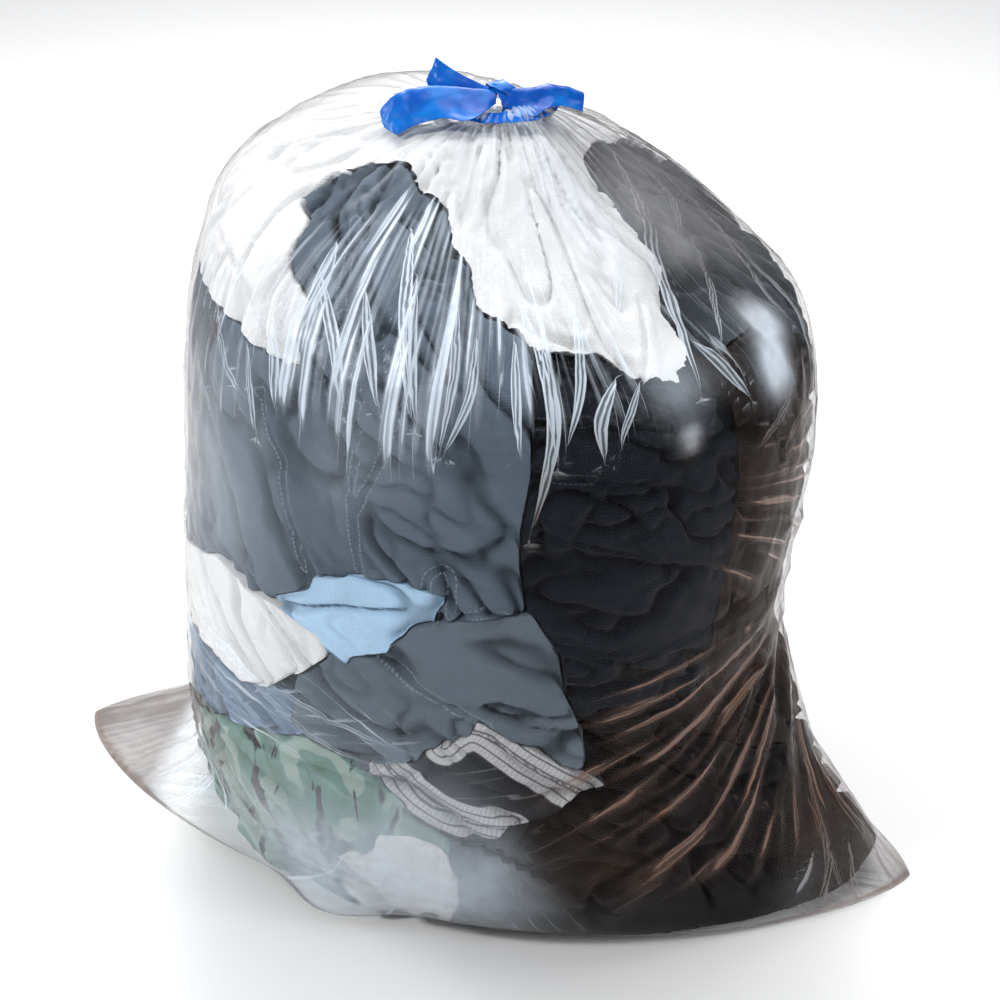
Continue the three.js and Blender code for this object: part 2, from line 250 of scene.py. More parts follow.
# The film's rows as places along the ring list, and the film's length up to each row.
def filmRows():
    ringAt, rowAt = np.array(bagForm["rowsTo"]).T
    rows = np.interp(np.arange(rowAt[-1] + 1), rowAt, ringAt)
    turns = np.radians(np.arange(15, 360, 30))
    lines = [ringPlaces(spline(bagForm["rings"], rows), np.full(len(rows), a)) for a in turns]
    steps = np.mean([np.linalg.norm(np.diff(line, axis=0), axis=1) for line in lines], 0)
    return rows, np.concatenate([[0], np.cumsum(steps)])


# Turns in radians from the rear all the way round, closer together on the side in front.
def filmTurns(around):
    turns = around * 2 * np.pi + np.pi / 2
    share, front = bagForm["frontShare"], math.radians(bagForm["frontTurn"])
    closer = share * (np.sin(turns - front) - math.sin(math.pi / 2 - front))
    return turns - closer


# A grid wrapped round the bag's form, closed under the base and open at the neck.
def makeFilmGrid(name):
    rows, lengths = filmRows()
    piece = newGrid(name, bagForm["aroundSteps"], len(rows) - 1)
    flat = placesOf(piece)
    steps = np.arange(len(rows))
    along = np.interp((flat[:, 1] + 0.5) * steps[-1], steps, rows)
    turns = filmTurns(flat[:, 0] + 0.5)
    setPlaces(piece, ringPlaces(spline(bagForm["rings"], along), turns))
    setAttribute(piece, "ring", along)
    setAttribute(piece, "turn", turns)
    loops = np.empty(len(piece.data.loops) * 2, np.float32)
    wrap = piece.data.uv_layers[0]
    wrap.name = "filmWrap"
    wrap.data.foreach_get("uv", loops)
    loops = loops.reshape(-1, 2)
    loops[:, 0] *= bagForm["round"]
    loops[:, 1] = np.interp(loops[:, 1] * steps[-1], steps, lengths)
    wrap.data.foreach_set("uv", loops.ravel())
    editAll(piece)
    bpy.ops.mesh.remove_doubles(threshold=1e-5)
    bpy.ops.mesh.normals_make_consistent(inside=False)
    doneEditing()
    return piece


def readAttribute(piece, name):
    layer = piece.data.attributes[name]
    values = np.empty(len(layer.data), np.float32)
    layer.data.foreach_get("value", values)
    piece.data.attributes.remove(layer)
    return values.astype(float)


# The bag's middling radius in metres, which turns an angle into a length round it.
bagRadius = 0.235


# Where places lie on the bag's wrap: metres round from the front, or from the rear for what lies
# there, and metres from the knot.
def wrapOf(places):
    side = 1 if places[:, 1].mean() < 0.06 else -1
    around = np.arctan2(side * places[:, 0], -side * places[:, 1]) * bagRadius
    down = np.linalg.norm(places - np.array(bagForm["knot"]), axis=1)
    return around, down


# The point of the film at a turn in degrees and a height in millimetres.
def onFilm(turn, height):
    t = np.linspace(bagForm["foldRing"], bagForm["neckRing"], 500)
    line = ringPlaces(spline(bagForm["rings"], t), np.full(len(t), math.radians(turn)))
    return line[np.abs(line[:, 2] - height * mm).argmin()]


# For each place, how far it is sideways from a line on the film and how far along the line,
# both in metres. Places beyond reach get a distance of 1.
def besideLine(places, points, reach):
    points = np.array([onFilm(*point) for point in points])
    line = spline(points, np.linspace(0, len(points) - 1, 16 * len(points)))
    run = np.concatenate([[0], np.cumsum(np.linalg.norm(np.diff(line, axis=0), axis=1))])
    outward = np.array([filmWall.find_nearest(point)[1] for point in line])
    forward = np.gradient(line, axis=0)
    sideways = np.cross(outward, forward)
    sideways /= np.linalg.norm(sideways, axis=1, keepdims=True)
    beside, along = np.ones(len(places)), np.zeros(len(places))
    low, high = line.min(0) - reach - 0.03, line.max(0) + reach + 0.03
    near = np.flatnonzero(((places > low) & (places < high)).all(1))
    offset = places[near, None] - line[None]
    apart = offset - (offset * outward).sum(2)[:, :, None] * outward
    best = (apart ** 2).sum(2).argmin(1)
    rows = np.arange(len(near))
    distance = np.linalg.norm(apart[rows, best], axis=1)
    side = np.sign((offset[rows, best] * sideways[best]).sum(1))
    close = distance < reach
    beside[near[close]] = (distance * side)[close]
    along[near] = run[best]
    return beside, along, run[-1]


# Long pointed creases in the film: points as (turn, height), half the width and the height in
# millimetres, and how pale the painted highlight along it is.
creases = [
    ([(-97, 542), (-91, 505), (-86, 451)], 5, 2.4, 1.0),
    ([(-91, 520), (-88, 490), (-85, 448)], 4, 2.0, 0.9),
    ([(-111, 532), (-109, 507), (-110, 484)], 6, 2.2, 0.9),
    ([(-110, 516), (-102, 484), (-98, 450)], 5, 2.2, 0.95),
    ([(-100, 512), (-95, 482), (-92, 454)], 4.5, 2.0, 0.9),
    ([(-81, 517), (-79, 476), (-81, 430)], 3.5, 1.8, 0.8),
    ([(-75, 493), (-76, 463), (-80, 430)], 3.5, 1.8, 0.8),
    ([(-67, 490), (-68, 462), (-68, 429)], 3.5, 1.8, 1.0),
    ([(-64, 503), (-62, 449), (-66, 378)], 5, 2.4, 1.0),
    ([(-60, 500), (-62, 462), (-62, 423)], 4, 2.2, 0.9),
    ([(-51, 502), (-56, 466), (-60, 435)], 4, 2.2, 0.95),
    ([(-49, 466), (-54, 447), (-54, 422)], 5, 2.2, 1.0),
    ([(-45, 462), (-50, 440), (-51, 428)], 3, 1.6, 0.8),
    ([(-141, 448), (-136, 428), (-131, 412)], 3.5, 1.8, 0.7),
    ([(-133, 482), (-126, 450), (-120, 436)], 4, 1.8, 0.7),
    ([(-116, 490), (-113, 462), (-112, 438)], 4.5, 2.2, 0.9),
    ([(-121, 470), (-118, 440), (-116, 414)], 3.5, 1.8, 0.7),
    ([(13, 563), (-9, 530), (-20, 511), (-31, 472), (-34, 452)], 5.5, 3.6, 1.0),
    ([(19, 550), (10, 531), (-7, 513)], 3.5, 3.0, 0.8),
    ([(-20, 538), (-33, 514), (-42, 492)], 4, 2.6, 0.7),
    ([(-3, 512), (-13, 489), (-23, 467)], 3, 3.0, 0.8),
    ([(16, 512), (2, 477), (0, 460)], 3.5, 3.0, 0.7),
    ([(-29, 472), (-27, 455), (-24, 438)], 5, 3.0, 0.7),
    ([(26, 540), (12, 500), (4, 452), (0, 410)], 3, 3.4, 0.7),
    ([(14, 456), (4, 424), (-6, 392)], 4, 3.0, 0.6),
    ([(-8, 442), (-14, 418), (-24, 402)], 4, 3.0, 0.6),
    ([(-2, 436), (-6, 410), (-16, 388)], 3.5, 3.0, 0.6),
    ([(-151, 100), (-147, 60), (-141, 12)], 5, 4.0, 0.9),
    ([(-146, 112), (-139, 60), (-133, 14)], 4, 3.5, 0.85),
    ([(-158, 92), (-153, 55), (-149, 18)], 4, 3.5, 0.75),
    ([(-156, 150), (-153, 100), (-147, 40)], 3.5, 2.5, 0.7),
    ([(-140, 215), (-118, 222), (-99, 208), (-86, 196)], 3, 3.0, 0.5),
    ([(-146, 250), (-125, 228), (-104, 190), (-90, 180)], 3, 2.5, 0.45),
    ([(-142, 203), (-120, 190), (-100, 150), (-90, 130)], 3, 2.5, 0.4),
    ([(-8, 118), (0, 142), (12, 168)], 5, 3.5, 0.7),
    ([(-4, 104), (-14, 70), (-24, 33), (-34, 8)], 4, 4.0, 0.8),
    ([(2, 100), (-4, 60), (-8, 16)], 4, 4.0, 0.8),
    ([(6, 74), (3, 40), (1, 8)], 4, 3.0, 0.9),
    ([(-12, 84), (-20, 48), (-26, 10)], 3, 3.0, 0.7),
    ([(178, 60), (184, 30), (182, 6)], 4, 4.0, 0.7),
    ([(168, 90), (174, 50), (176, 10)], 4, 3.5, 0.7),
]

# Long soft ridges with no painted highlight: points, half the width and the height.
ripples = [
    ([(16, 228), (-10, 196), (-36, 140), (-60, 66)], 8, 3.6),
    ([(20, 240), (-6, 222), (-34, 186), (-62, 130)], 7, 3.6),
    ([(18, 214), (-4, 176), (-26, 116), (-44, 50)], 8, 4.0),
    ([(22, 250), (-8, 244), (-34, 226), (-60, 190)], 7, 3.2),
    ([(16, 190), (0, 150), (-16, 92), (-30, 30)], 7, 4.0),
    ([(22, 200), (10, 150), (0, 100)], 7, 4.0),
    ([(-66, 400), (-40, 376), (-14, 330), (12, 282)], 7, 2.6),
    ([(-44, 420), (-20, 396), (0, 350), (16, 300)], 6, 2.8),
    ([(10, 420), (4, 380), (10, 330)], 6, 3.0),
    ([(30, 150), (70, 190), (110, 230)], 8, 4.5),
    ([(20, 60), (50, 90), (90, 150), (120, 180)], 9, 5.0),
    ([(40, 260), (80, 300), (120, 310), (160, 280)], 8, 4.0),
    ([(150, 60), (130, 110), (100, 130)], 8, 4.5),
]

# Sheaves of fine creases: the layer of flow that they belong to, the place that they run from (the
# knot for None), the middle and reach of the stretch that they cover (turn and height), how wide
# and long each one is, how high it is and how pale its painted highlight is.
Sheaf = namedtuple("Sheaf", "layer source middle reach wide long high pale")
sheaves = [
    Sheaf("flowUp", None, (-96, 490), (31, 82), 10, 400, 2.0, 1.0),
    Sheaf("flowUp", None, (-130, 470), (34, 60), 10, 400, 2.0, 0.62),
    Sheaf("flowUp", None, (-58, 492), (24, 62), 9, 400, 2.0, 0.75),
    Sheaf("flowUp", None, (-20, 505), (34, 60), 12, 300, 2.4, 0.5),
    Sheaf("flowUp", None, (70, 490), (75, 80), 12, 300, 2.2, 0.6),
    Sheaf("flowUp", None, (170, 500), (45, 70), 12, 300, 2.2, 0.6),
    Sheaf("flowDown", (-178, 190), (-149, 50), (24, 90), 14, 200, 3.0, 0.6),
    Sheaf("flowDown", (-72, 160), (-122, 205), (36, 55), 10, 260, 1.8, 0.55),
    Sheaf("flowDown", (-70, 360), (-90, 62), (34, 66), 12, 260, 2.2, 0.5),
    Sheaf("flowDown", (34, 262), (-30, 150), (46, 150), 12, 260, 3.6, 0.74),
    Sheaf("flowDown", (-70, 420), (0, 330), (36, 90), 12, 200, 2.6, 0.7),
    Sheaf("flowDown", (30, 190), (-14, 24), (24, 44), 12, 200, 3.0, 0.95),
    Sheaf("flowDown", (90, -80), (75, 150), (46, 140), 15, 300, 3.6, 0.4),
    Sheaf("flowDown", (178, 200), (150, 60), (26, 90), 14, 200, 3.4, 0.5),
]

# Milky patches: the film's own haze, and painted highlights where they are strongest, high on the
# right shoulder. Each has turn, height, reach in millimetres, and strength.
hazePatchesAndPaintedGlints = [
    (-127, 45, 50, 0.16),
    (-110, 60, 55, 0.42),
    (-92, 70, 70, 0.46),
    (-78, 70, 55, 0.26),
    (-84, 140, 45, 0.10),
    (-142, 395, 80, 0.34),
    (-126, 330, 60, 0.12),
    (-112, 190, 60, 0.08),
    (-150, 100, 60, 0.12),
    (-95, 425, 40, 0.12),
    (14, 540, 60, 0.24),
    (-14, 540, 44, 0.30),
    (5, 503, 36, 0.20),
    (-38, 424, 8, 0.85),
    (-8, 468, 17, 1.6),
    (-14, 446, 16, 1.6),
    (-38, 458, 22, 0.28),
    (-10, 512, 22, 0.34),
    (8, 165, 30, 0.16),
    (-2, 12, 30, 0.40),
    (180, 12, 40, 0.20),
    (95, 70, 110, 0.20),
    (60, 480, 90, 0.10),
    (140, 420, 90, 0.12),
]

# The rest of the film's relief. Heights, named high, are in millimetres, and the rest in metres.
filmForm = {
    # what all the heights are multiplied by, and the least height of the film over the floor
    "lift": 0.75,
    "lowest": 0.0004,
    "gathers": 44,
    "gatherHigh": 4.5,
    "gatherReach": 0.17,
    "hemHigh": 4.0,
    # the knuckle of the hem under the tape: turn, width in degrees and height
    "knuckle": (-75, 16, 7),
    "slackHigh": 2.0,
    "slackWide": 0.10,
    # slack film over the right shoulder: turn, width in degrees, middle and reach up and down
    "pocket": (8, 40, 0.5, 0.06),
    "pocketHigh": 7.0,
    "crumpleHigh": 1.5,
    "crumpleWide": 0.045,
    "creaseReach": 0.011,
    "rippleReach": 0.03,
    # how far sheaves stray sideways, and over what length
    "bend": 0.012,
    "bendWide": 0.1,
    "fanRadius": 0.22,
    # where the film's turns begin, at the rear
    "joinTurn": 90,
    # how milky the fold round the base is, and the left and right ears
    "rimHaze": 0.6,
    "earHaze": (0.72, 0.16),
    "leastHaze": 0.004,
    "mostHaze": 0.9,
}

# Where the film's painted highlights and haze turn to a painted brown reflection or to grey-brown:
# each fades in or out from the first number to the second. Turns are in degrees from the front,
# and heights in metres.
filmTones = {
    "brownStart": (14, 34),
    "brownEnd": (120, 160),
    "brownTop": (0.36, 0.46),
    "brownBottom": (0.03, 0.08),
    "leftTurn": -75,
    "leftWide": (20, 50),
    "leftBottom": (0.3, 0.36),
    "shoulderStart": (50, 80),
    "shoulderEnd": (130, 170),
    "shoulderBottom": (0.44, 0.5),
}

# How many layers the creases are kept in, so that none of a layer's creases come close together.
mostLayers = 4

# Creases that fan out over the lower right, from the waist down to the front of the base. The
# two ends are each a range of turns and a range of heights, and shares are places along one.
fan = {
    "count": 18,
    "seed": 11,
    "from": (4, 24, 205, 262),
    "to": (-66, -20, 20, 225),
    "sag": -9,
    "wide": (5, 9),
    "high": (2, 4),
    "shares": (0, 0.35, 0.7, 1),
}


def fanCreases():
    draw = np.random.RandomState(fan["seed"])
    rows = []
    for k in range(fan["count"]):
        share = (k + draw.uniform(-0.3, 0.3)) / fan["count"]
        near, far = draw.uniform(0, 0.5), draw.uniform(0.45, 1)
        ends = []
        for low, side, base, top in (fan["from"], fan["to"]):
            turn = low + (side - low) * draw.uniform()
            ends.append(np.array([turn, base + (top - base) * share]))
        start, end = ends
        points = [start + (end - start) * (near + (far - near) * t) for t in fan["shares"]]
        for t, point in zip(fan["shares"], points):
            point[1] -= fan["sag"] * math.sin(math.pi * t) * draw.uniform(0.4, 1.2)
        line = [(point[0], max(point[1], 4)) for point in points]
        rows.append((line, draw.uniform(*fan["wide"]), draw.uniform(*fan["high"])))
    return rows


# The across and along coordinates of one sheaf, and how strongly it shows, for each point.
def sheafFlow(sheaf, places, turns):
    degrees = np.degrees(turns)
    if sheaf.source is None:
        across, along = turns * bagRadius, wrapOf(places)[1]
    else:
        side = degreesFrom(degrees, sheaf.source[0])
        side = side * math.radians(1) * bagRadius
        up = places[:, 2] - sheaf.source[1] * mm
        across, along = np.arctan2(up, side) * filmForm["fanRadius"], np.hypot(side, up)
    turned = degreesFrom(degrees, sheaf.middle[0])
    raised = places[:, 2] / mm - sheaf.middle[1]
    away = np.hypot(turned / sheaf.reach[0], raised / sheaf.reach[1])
    away += 0.25 * waves(places / 0.07, 12)
    fromJoin = np.abs(degreesFrom(degrees, filmForm["joinTurn"]))
    return across, along, (1 - ramp(away, 0.55, 1.1)) * ramp(fromJoin, 1, 4)


# The heights of the sheaves of fine creases.
def addSheaves(height, places, turns, clear):
    for k, sheaf in enumerate(sheaves):
        across, along, shown = sheafFlow(sheaf, places, turns)
        bend = filmForm["bend"] * waves(places / filmForm["bendWide"], 14 + k)
        across = (across + bend) / (sheaf.wide * mm)
        along = along / (sheaf.long * mm)
        field = waves(np.stack([across, along, along * 0 + k], 1), k)
        height += sheaf.high * shown * clear * ramp(field, 0.1, 0.65)


# The heights of the single creases, and where they lie and how pale their painted highlights are,
# kept in layers for the material.
def addCreases(height, places):
    layers = []
    reach = filmForm["creaseReach"]
    for line, wide, high, pale in creases:
        beside, along, length = besideLine(places, line, reach)
        share = np.clip(along / length, 0, 1)
        side = beside / (wide * mm)
        height += high * np.sin(np.pi * share) ** 0.8 * np.exp(-side ** 2)
        near = np.abs(beside) < reach
        free = [layer for layer in layers if not layer[near, 2].any()]
        if not free and len(layers) < mostLayers:
            free = [np.zeros((len(places), 3))]
            layers += free
        if free:
            window = 1 - ramp(np.abs(beside), 0.6 * reach, 0.85 * reach)
            free[0][near] = np.stack([side, share, pale * window + 1e-4], 1)[near]
    return layers


def addRipples(height, places):
    for line, wide, high in ripples + fanCreases():
        beside, along, length = besideLine(places, line, filmForm["rippleReach"])
        taper = np.sin(np.pi * (0.04 + 0.92 * np.clip(along / length, 0, 1))) ** 0.6
        ratio = (beside + 0.005 * waves(places / 0.05, 21)) / (wide * mm)
        height += high * taper * np.exp(-ratio ** 2)


# Slack hills, higher over the hollow shoulder, and crumples with sharp ridges.
def addSlack(height, places, turns, calm):
    turn, wide, middle, tall = filmForm["pocket"]
    turned = degreesFrom(np.degrees(turns), turn)
    loose = np.exp(-(turned / wide) ** 2 - ((places[:, 2] - middle) / tall) ** 2)
    hill = filmForm["slackHigh"] + filmForm["pocketHigh"] * loose
    height += hill * ramp(waves(places / filmForm["slackWide"], 8), -0.3, 0.8) * calm
    for seed, size in ((9, 1), (10, 0.5)):
        ridge = np.abs(waves(places / (filmForm["crumpleWide"] * size), seed))
        height += filmForm["crumpleHigh"] * size * np.clip(1 - ridge / 0.3, 0, 1) ** 1.5 * calm


# For each point, the across and along coordinates of the strongest sheaf in a layer, and how
# strongly its painted highlight shows.
def keepFlow(piece, layer, places, turns, down):
    flow = np.zeros((len(places), 3))
    flow[:, 0], flow[:, 1] = turns * bagRadius, down
    for sheaf in sheaves:
        if sheaf.layer == layer:
            across, along, shown = sheafFlow(sheaf, places, turns)
            across = across + 0.006 * waves(places / 0.11, 25)
            shown = shown * sheaf.pale
            taken = shown > flow[:, 2]
            flow[taken] = np.stack([across, along, shown], 1)[taken]
    setAttribute(piece, layer, flow)


def shapeFilm(piece):
    places, normals = placesOf(piece), normalsOf(piece)
    ring, turns = readAttribute(piece, "ring"), readAttribute(piece, "turn")
    down = wrapOf(places)[1]
    clear = ramp(places[:, 2], 0.004, 0.05)
    circle = np.stack([np.cos(turns), np.sin(turns)], 1)
    calmPlaces = places.copy()
    height = np.zeros(len(places))
    addSheaves(height, places, turns, clear)
    creaseLayers = addCreases(height, places)
    addRipples(height, places)
    # the gathers at the neck, and the hem's own
    uneven = waves(np.column_stack([circle * 3, down / 0.07]), 2)
    gather = 1 - np.abs(np.sin(turns * filmForm["gathers"] / 2 + 3 * uneven))
    uneven = waves(np.column_stack([circle * 5, turns * 0]), 4)
    reach = filmForm["gatherReach"] * (1 + 0.5 * uneven)
    fade = 1 - ramp(down, 0.04, np.maximum(reach, 0.07))
    neck = ring < bagForm["hemRing"]
    full = gather ** 1.3 * fade * (0.4 + 0.6 * ramp(down, 0.02, 0.06))
    height += np.where(neck, filmForm["gatherHigh"] * full, 0)
    hem = ramp(ring, bagForm["hemRing"] - 1, bagForm["hemRing"] + 2)
    height += filmForm["hemHigh"] * hem * gather
    turn, wide, high = filmForm["knuckle"]
    turned = degreesFrom(np.degrees(turns), turn)
    knuckle = np.exp(-(turned / wide) ** 2) * hem
    height += high * knuckle
    addSlack(height, places, turns, clear * ramp(down, 0.08, 0.2))
    places = places + normals * height[:, None] * filmForm["lift"] * mm
    places[:, 2] = np.maximum(places[:, 2], filmForm["lowest"])
    setPlaces(piece, places)
    for layer in ("flowUp", "flowDown"):
        keepFlow(piece, layer, calmPlaces, turns, down)
    for k, layer in enumerate(creaseLayers):
        setAttribute(piece, f"pleat{k}", layer)
    print("film:", len(creaseLayers), "layers of creases")
    # the film's milky haze at the gathers, the hem and the knuckle, then the milk patches, the
    # strongest of which are painted glints
    hazeAndPaintedGlints = filmForm["leastHaze"] + 0.35 * fade * gather ** 2 * neck + 0.35 * hem + 0.3 * knuckle
    for turn, up, size, strength in hazePatchesAndPaintedGlints:
        apart = np.linalg.norm(places - onFilm(turn, up), axis=1) / (size * mm)
        hazeAndPaintedGlints += strength * np.exp(-apart ** 2 * (1 + 0.4 * waves(places / 0.05, 15)))
    rim = np.exp(-((ring - bagForm["foldRing"]) / 0.22) ** 2)
    hazeAndPaintedGlints += filmForm["rimHaze"] * rim
    ear = ramp(np.abs(places[:, 0]), 0.24, 0.285) * (ring > bagForm["foldRing"] - 1)
    ear *= 1 - ramp(places[:, 2], 0.08, 0.14)
    leftEar, rightEar = filmForm["earHaze"]
    uneven = 1 + 0.3 * waves(places / 0.05, 16)
    hazeAndPaintedGlints += np.where(places[:, 0] < 0, leftEar, rightEar) * ear * uneven
    setAttribute(piece, "hazeAndPaintedGlints", np.clip(hazeAndPaintedGlints, 0, filmForm["mostHaze"]))
    # a painted brown reflection low on the right, and grey-brown on the shoulder, on the ears and
    # high on the left: the tone of the painted highlights and haze
    up = places[:, 2]
    front = degreesFrom(np.degrees(turns), -90)
    paintedHighlightTone = ramp(front, *filmTones["brownStart"]) * (1 - ramp(front, *filmTones["brownEnd"]))
    paintedHighlightTone *= 1 - ramp(up, *filmTones["brownTop"])
    paintedHighlightTone *= 0.35 + 0.65 * ramp(up, *filmTones["brownBottom"])
    shoulder = ramp(front, *filmTones["shoulderStart"]) * ramp(up, *filmTones["shoulderBottom"])
    shoulder *= 0.8 * (1 - ramp(front, *filmTones["shoulderEnd"]))
    fromLeft = np.abs(front - filmTones["leftTurn"])
    left = 0.7 * (1 - ramp(fromLeft, *filmTones["leftWide"])) * ramp(up, *filmTones["leftBottom"])
    greyBrownTint = 0.5 * np.maximum(np.maximum(ear, left), shoulder)
    setAttribute(piece, "paintedHighlightTone", np.maximum(np.maximum(paintedHighlightTone, greyBrownTint), 0.8 * rim))


print("film: grid")
film = makeFilmGrid("clear_bag_film")
filmWall = wallOf(film)
shapeFilm(film)
addWall(film, bagForm["wall"], 1)
smoothShade(film, 80)
print("film:", len(film.data.polygons), "faces")


# A node with its settings made and its inputs fed: a socket is linked, and a value is set.
def newNode(tree, kind, inputs=None, **settings):
    node = tree.nodes.new(kind)
    for name, value in settings.items():
        setattr(node, name, value)
    for name, value in (inputs or {}).items():
        if isinstance(value, bpy.types.NodeSocket):
            tree.links.new(value, node.inputs[name])
        else:
            node.inputs[name].default_value = value
    return node


def newMaterial(name):
    material = bpy.data.materials.new(name)
    material.use_nodes = True
    material.node_tree.nodes.clear()
    return material, material.node_tree


def setSurface(tree, shader):
    newNode(tree, "ShaderNodeOutputMaterial", {"Surface": shader})


def calculate(tree, operation, *feeds, clamp=False):
    feeds = dict(enumerate(feeds))
    node = newNode(tree, "ShaderNodeMath", feeds, operation=operation, use_clamp=clamp)
    return node.outputs["Value"]


# A smooth step of a value between two levels.
def smoothStep(tree, value, start, end):
    levels = {"Value": value, "From Min": start, "From Max": end}
    node = newNode(tree, "ShaderNodeMapRange", levels, interpolation_type="SMOOTHSTEP")
    return node.outputs["Result"]


# The mix node's sockets for colours are found by number, since its kinds share their names.
def mixColours(tree, factor, first, second):
    node = newNode(tree, "ShaderNodeMix", {0: factor, 6: first, 7: second}, data_type="RGBA")
    return node.outputs[2]


def mixShaders(tree, factor, first, second):
    return newNode(tree, "ShaderNodeMixShader", {0: factor, 1: first, 2: second}).outputs["Shader"]


def splitVector(tree, vector):
    return newNode(tree, "ShaderNodeSeparateXYZ", {"Vector": vector}).outputs


def makeNoise(tree, place, scale, detail, roughness=0.5, distortion=0):
    return newNode(tree, "ShaderNodeTexNoise", {
        "Vector": place, "Scale": scale, "Detail": detail, "Roughness": roughness,
        "Distortion": distortion}).outputs["Fac"]


def makeBump(tree, height, strength, distance):
    return newNode(tree, "ShaderNodeBump", {
        "Height": height, "Strength": strength, "Distance": distance}).outputs["Normal"]


# What a piece keeps on its points under a name.
def keptOn(tree, name):
    return newNode(tree, "ShaderNodeAttribute", attribute_name=name).outputs


# A node group. An input is given by its kind, or by the number that it has unless it's fed.
def newGroup(name, inputs, outputs):
    tree = bpy.data.node_groups.new(name, "ShaderNodeTree")
    for label, start in inputs.items():
        kind = start if isinstance(start, str) else "Float"
        socket = tree.interface.new_socket(label, in_out="INPUT", socket_type="NodeSocket" + kind)
        if kind == "Float":
            socket.default_value = start
    for label, kind in outputs.items():
        tree.interface.new_socket(label, in_out="OUTPUT", socket_type="NodeSocket" + kind)
    return tree, tree.nodes.new("NodeGroupInput").outputs


def endGroup(tree, values):
    newNode(tree, "NodeGroupOutput", values)
    return tree


def placeGroup(tree, group, values):
    return newNode(tree, "ShaderNodeGroup", values, node_tree=group).outputs


# The noises of a streak: how much finer across, how much shorter along, its place in the noise
# and its detail.
streakNoises = {
    "broad": (1, 1, 0, 1),
    "fine": (3.4, 1.3, 40, 0),
    "other": (0.8, 0.7, 80, 0),
}


# Painted highlights: long pointed pale streaks that stand in for the glints on the film's pleats
# and follow a flow kept on the film: X across, Y along, Z how much shows. Each has a sharp striped
# core in a thin veil, and fine lines run between them, all of it painted highlight.
def makePaintedStreakGroup():
    tree, start = newGroup("painted film streaks", {
        "Flow": "Vector", "Wide": 0.008, "Long": 0.15, "Level": 0.55, "Veil": 0.3,
    }, {"Mask": "Float", "Height": "Float"})
    flow = splitVector(tree, start["Flow"])
    shown = flow["Z"]
    across = calculate(tree, "DIVIDE", flow["X"], start["Wide"])
    along = calculate(tree, "DIVIDE", flow["Y"], start["Long"])
    noises = {}
    for name, (finer, shorter, place, detail) in streakNoises.items():
        at = newNode(tree, "ShaderNodeCombineXYZ", {
            "X": calculate(tree, "MULTIPLY", across, finer),
            "Y": calculate(tree, "MULTIPLY", along, shorter),
            "Z": place})
        noises[name] = makeNoise(tree, at.outputs["Vector"], 1, detail)
    lift = calculate(tree, "MULTIPLY_ADD", shown, 0.28, noises["broad"])
    over = calculate(tree, "SUBTRACT", lift, start["Level"])
    stripes = smoothStep(tree, noises["fine"], 0.28, 0.62)
    stripes = calculate(tree, "MULTIPLY_ADD", stripes, 0.6, 0.4)
    core = calculate(tree, "MULTIPLY", smoothStep(tree, over, 0.16, 0.21), stripes)
    veil = calculate(tree, "MULTIPLY", smoothStep(tree, over, 0.02, 0.22), start["Veil"])
    ridge = calculate(tree, "ABSOLUTE", calculate(tree, "SUBTRACT", noises["other"], 0.5))
    dense = smoothStep(tree, noises["broad"], 0.42, 0.62)
    line = calculate(tree, "MULTIPLY", smoothStep(tree, ridge, 0.014, 0.003), dense)
    line = calculate(tree, "MULTIPLY", line, 0.75)
    paintedHighlightMask = calculate(tree, "MAXIMUM", core, calculate(tree, "MAXIMUM", veil, line))
    more = calculate(tree, "MULTIPLY_ADD", shown, 0.5, 0.5)
    strong = calculate(tree, "MULTIPLY", smoothStep(tree, shown, 0, 0.3), more)
    return endGroup(tree, {
        "Mask": calculate(tree, "MULTIPLY", paintedHighlightMask, strong),
        "Height": calculate(tree, "MULTIPLY", noises["other"], shown)})


# The painted highlight of one pointed crease of the film: X to its side in half widths, Y along it
# from 0 to 1, Z how pale it is. Its rims are painted bright and its middle is thin and striped.
def makePaintedCreaseGroup():
    tree, start = newGroup("painted film crease", {"Crease": "Vector"}, {"Mask": "Float"})
    crease = splitVector(tree, start["Crease"])
    side, along = crease["X"], crease["Y"]
    arc = calculate(tree, "MULTIPLY_ADD", along, 0.96 * math.pi, 0.02 * math.pi)
    taper = calculate(tree, "POWER", calculate(tree, "SINE", arc), 0.8)
    taper = calculate(tree, "MAXIMUM", taper, 0.05)
    out = calculate(tree, "DIVIDE", calculate(tree, "ABSOLUTE", side), taper)
    lean = calculate(tree, "MULTIPLY", along, 5)
    wave = calculate(tree, "SINE", calculate(tree, "MULTIPLY_ADD", side, 8, lean))
    stripes = smoothStep(tree, wave, -0.6, 0.8)
    thin = calculate(tree, "MULTIPLY_ADD", stripes, 0.65, 0.2)
    thin = calculate(tree, "MAXIMUM", thin, smoothStep(tree, out, 0.5, 0.85))
    paintedHighlightMask = calculate(tree, "MULTIPLY", smoothStep(tree, out, 1.0, 0.84), thin)
    return endGroup(tree, {"Mask": calculate(tree, "MULTIPLY", paintedHighlightMask, crease["Z"])})


paintedCreaseGroup = makePaintedCreaseGroup()
paintedStreakGroup = makePaintedStreakGroup()

filmLook = {
    # pale is the colour of the painted highlights and the haze, brown that of the painted
    # reflection low on the right, and the grey-brown tint lies between
    "pale": tint(0.90, 0.95, 1.0),
    "greyBrownTint": tint(0.50, 0.47, 0.46),
    "brown": tint(0.50, 0.37, 0.30),
    # the mirror's colour is darkened and tinted grey-brown, a painted darker reflection that makes
    # the film's edges grey-brown
    "mirror": tint(0.64, 0.61, 0.60),
    "mirrorRoughness": 0.08,
    "streakRoughness": 0.38,
    "cover": 0.86,
    "index": 1.34,
    "edgeGain": 0.95,
    "edgeFloor": 0.011,
    "bump": 0.0022,
    "crinkleScale": 55,
    # painted highlight streaks: the flow that they follow, how wide and long they are in metres,
    # the level that the noise has to pass, and how thick the veil round them is
    "streaks": [
        ("flowUp", 0.0085, 0.17, 0.665, 0.34),
        ("flowDown", 0.0066, 0.15, 0.632, 0.24),
    ],
}


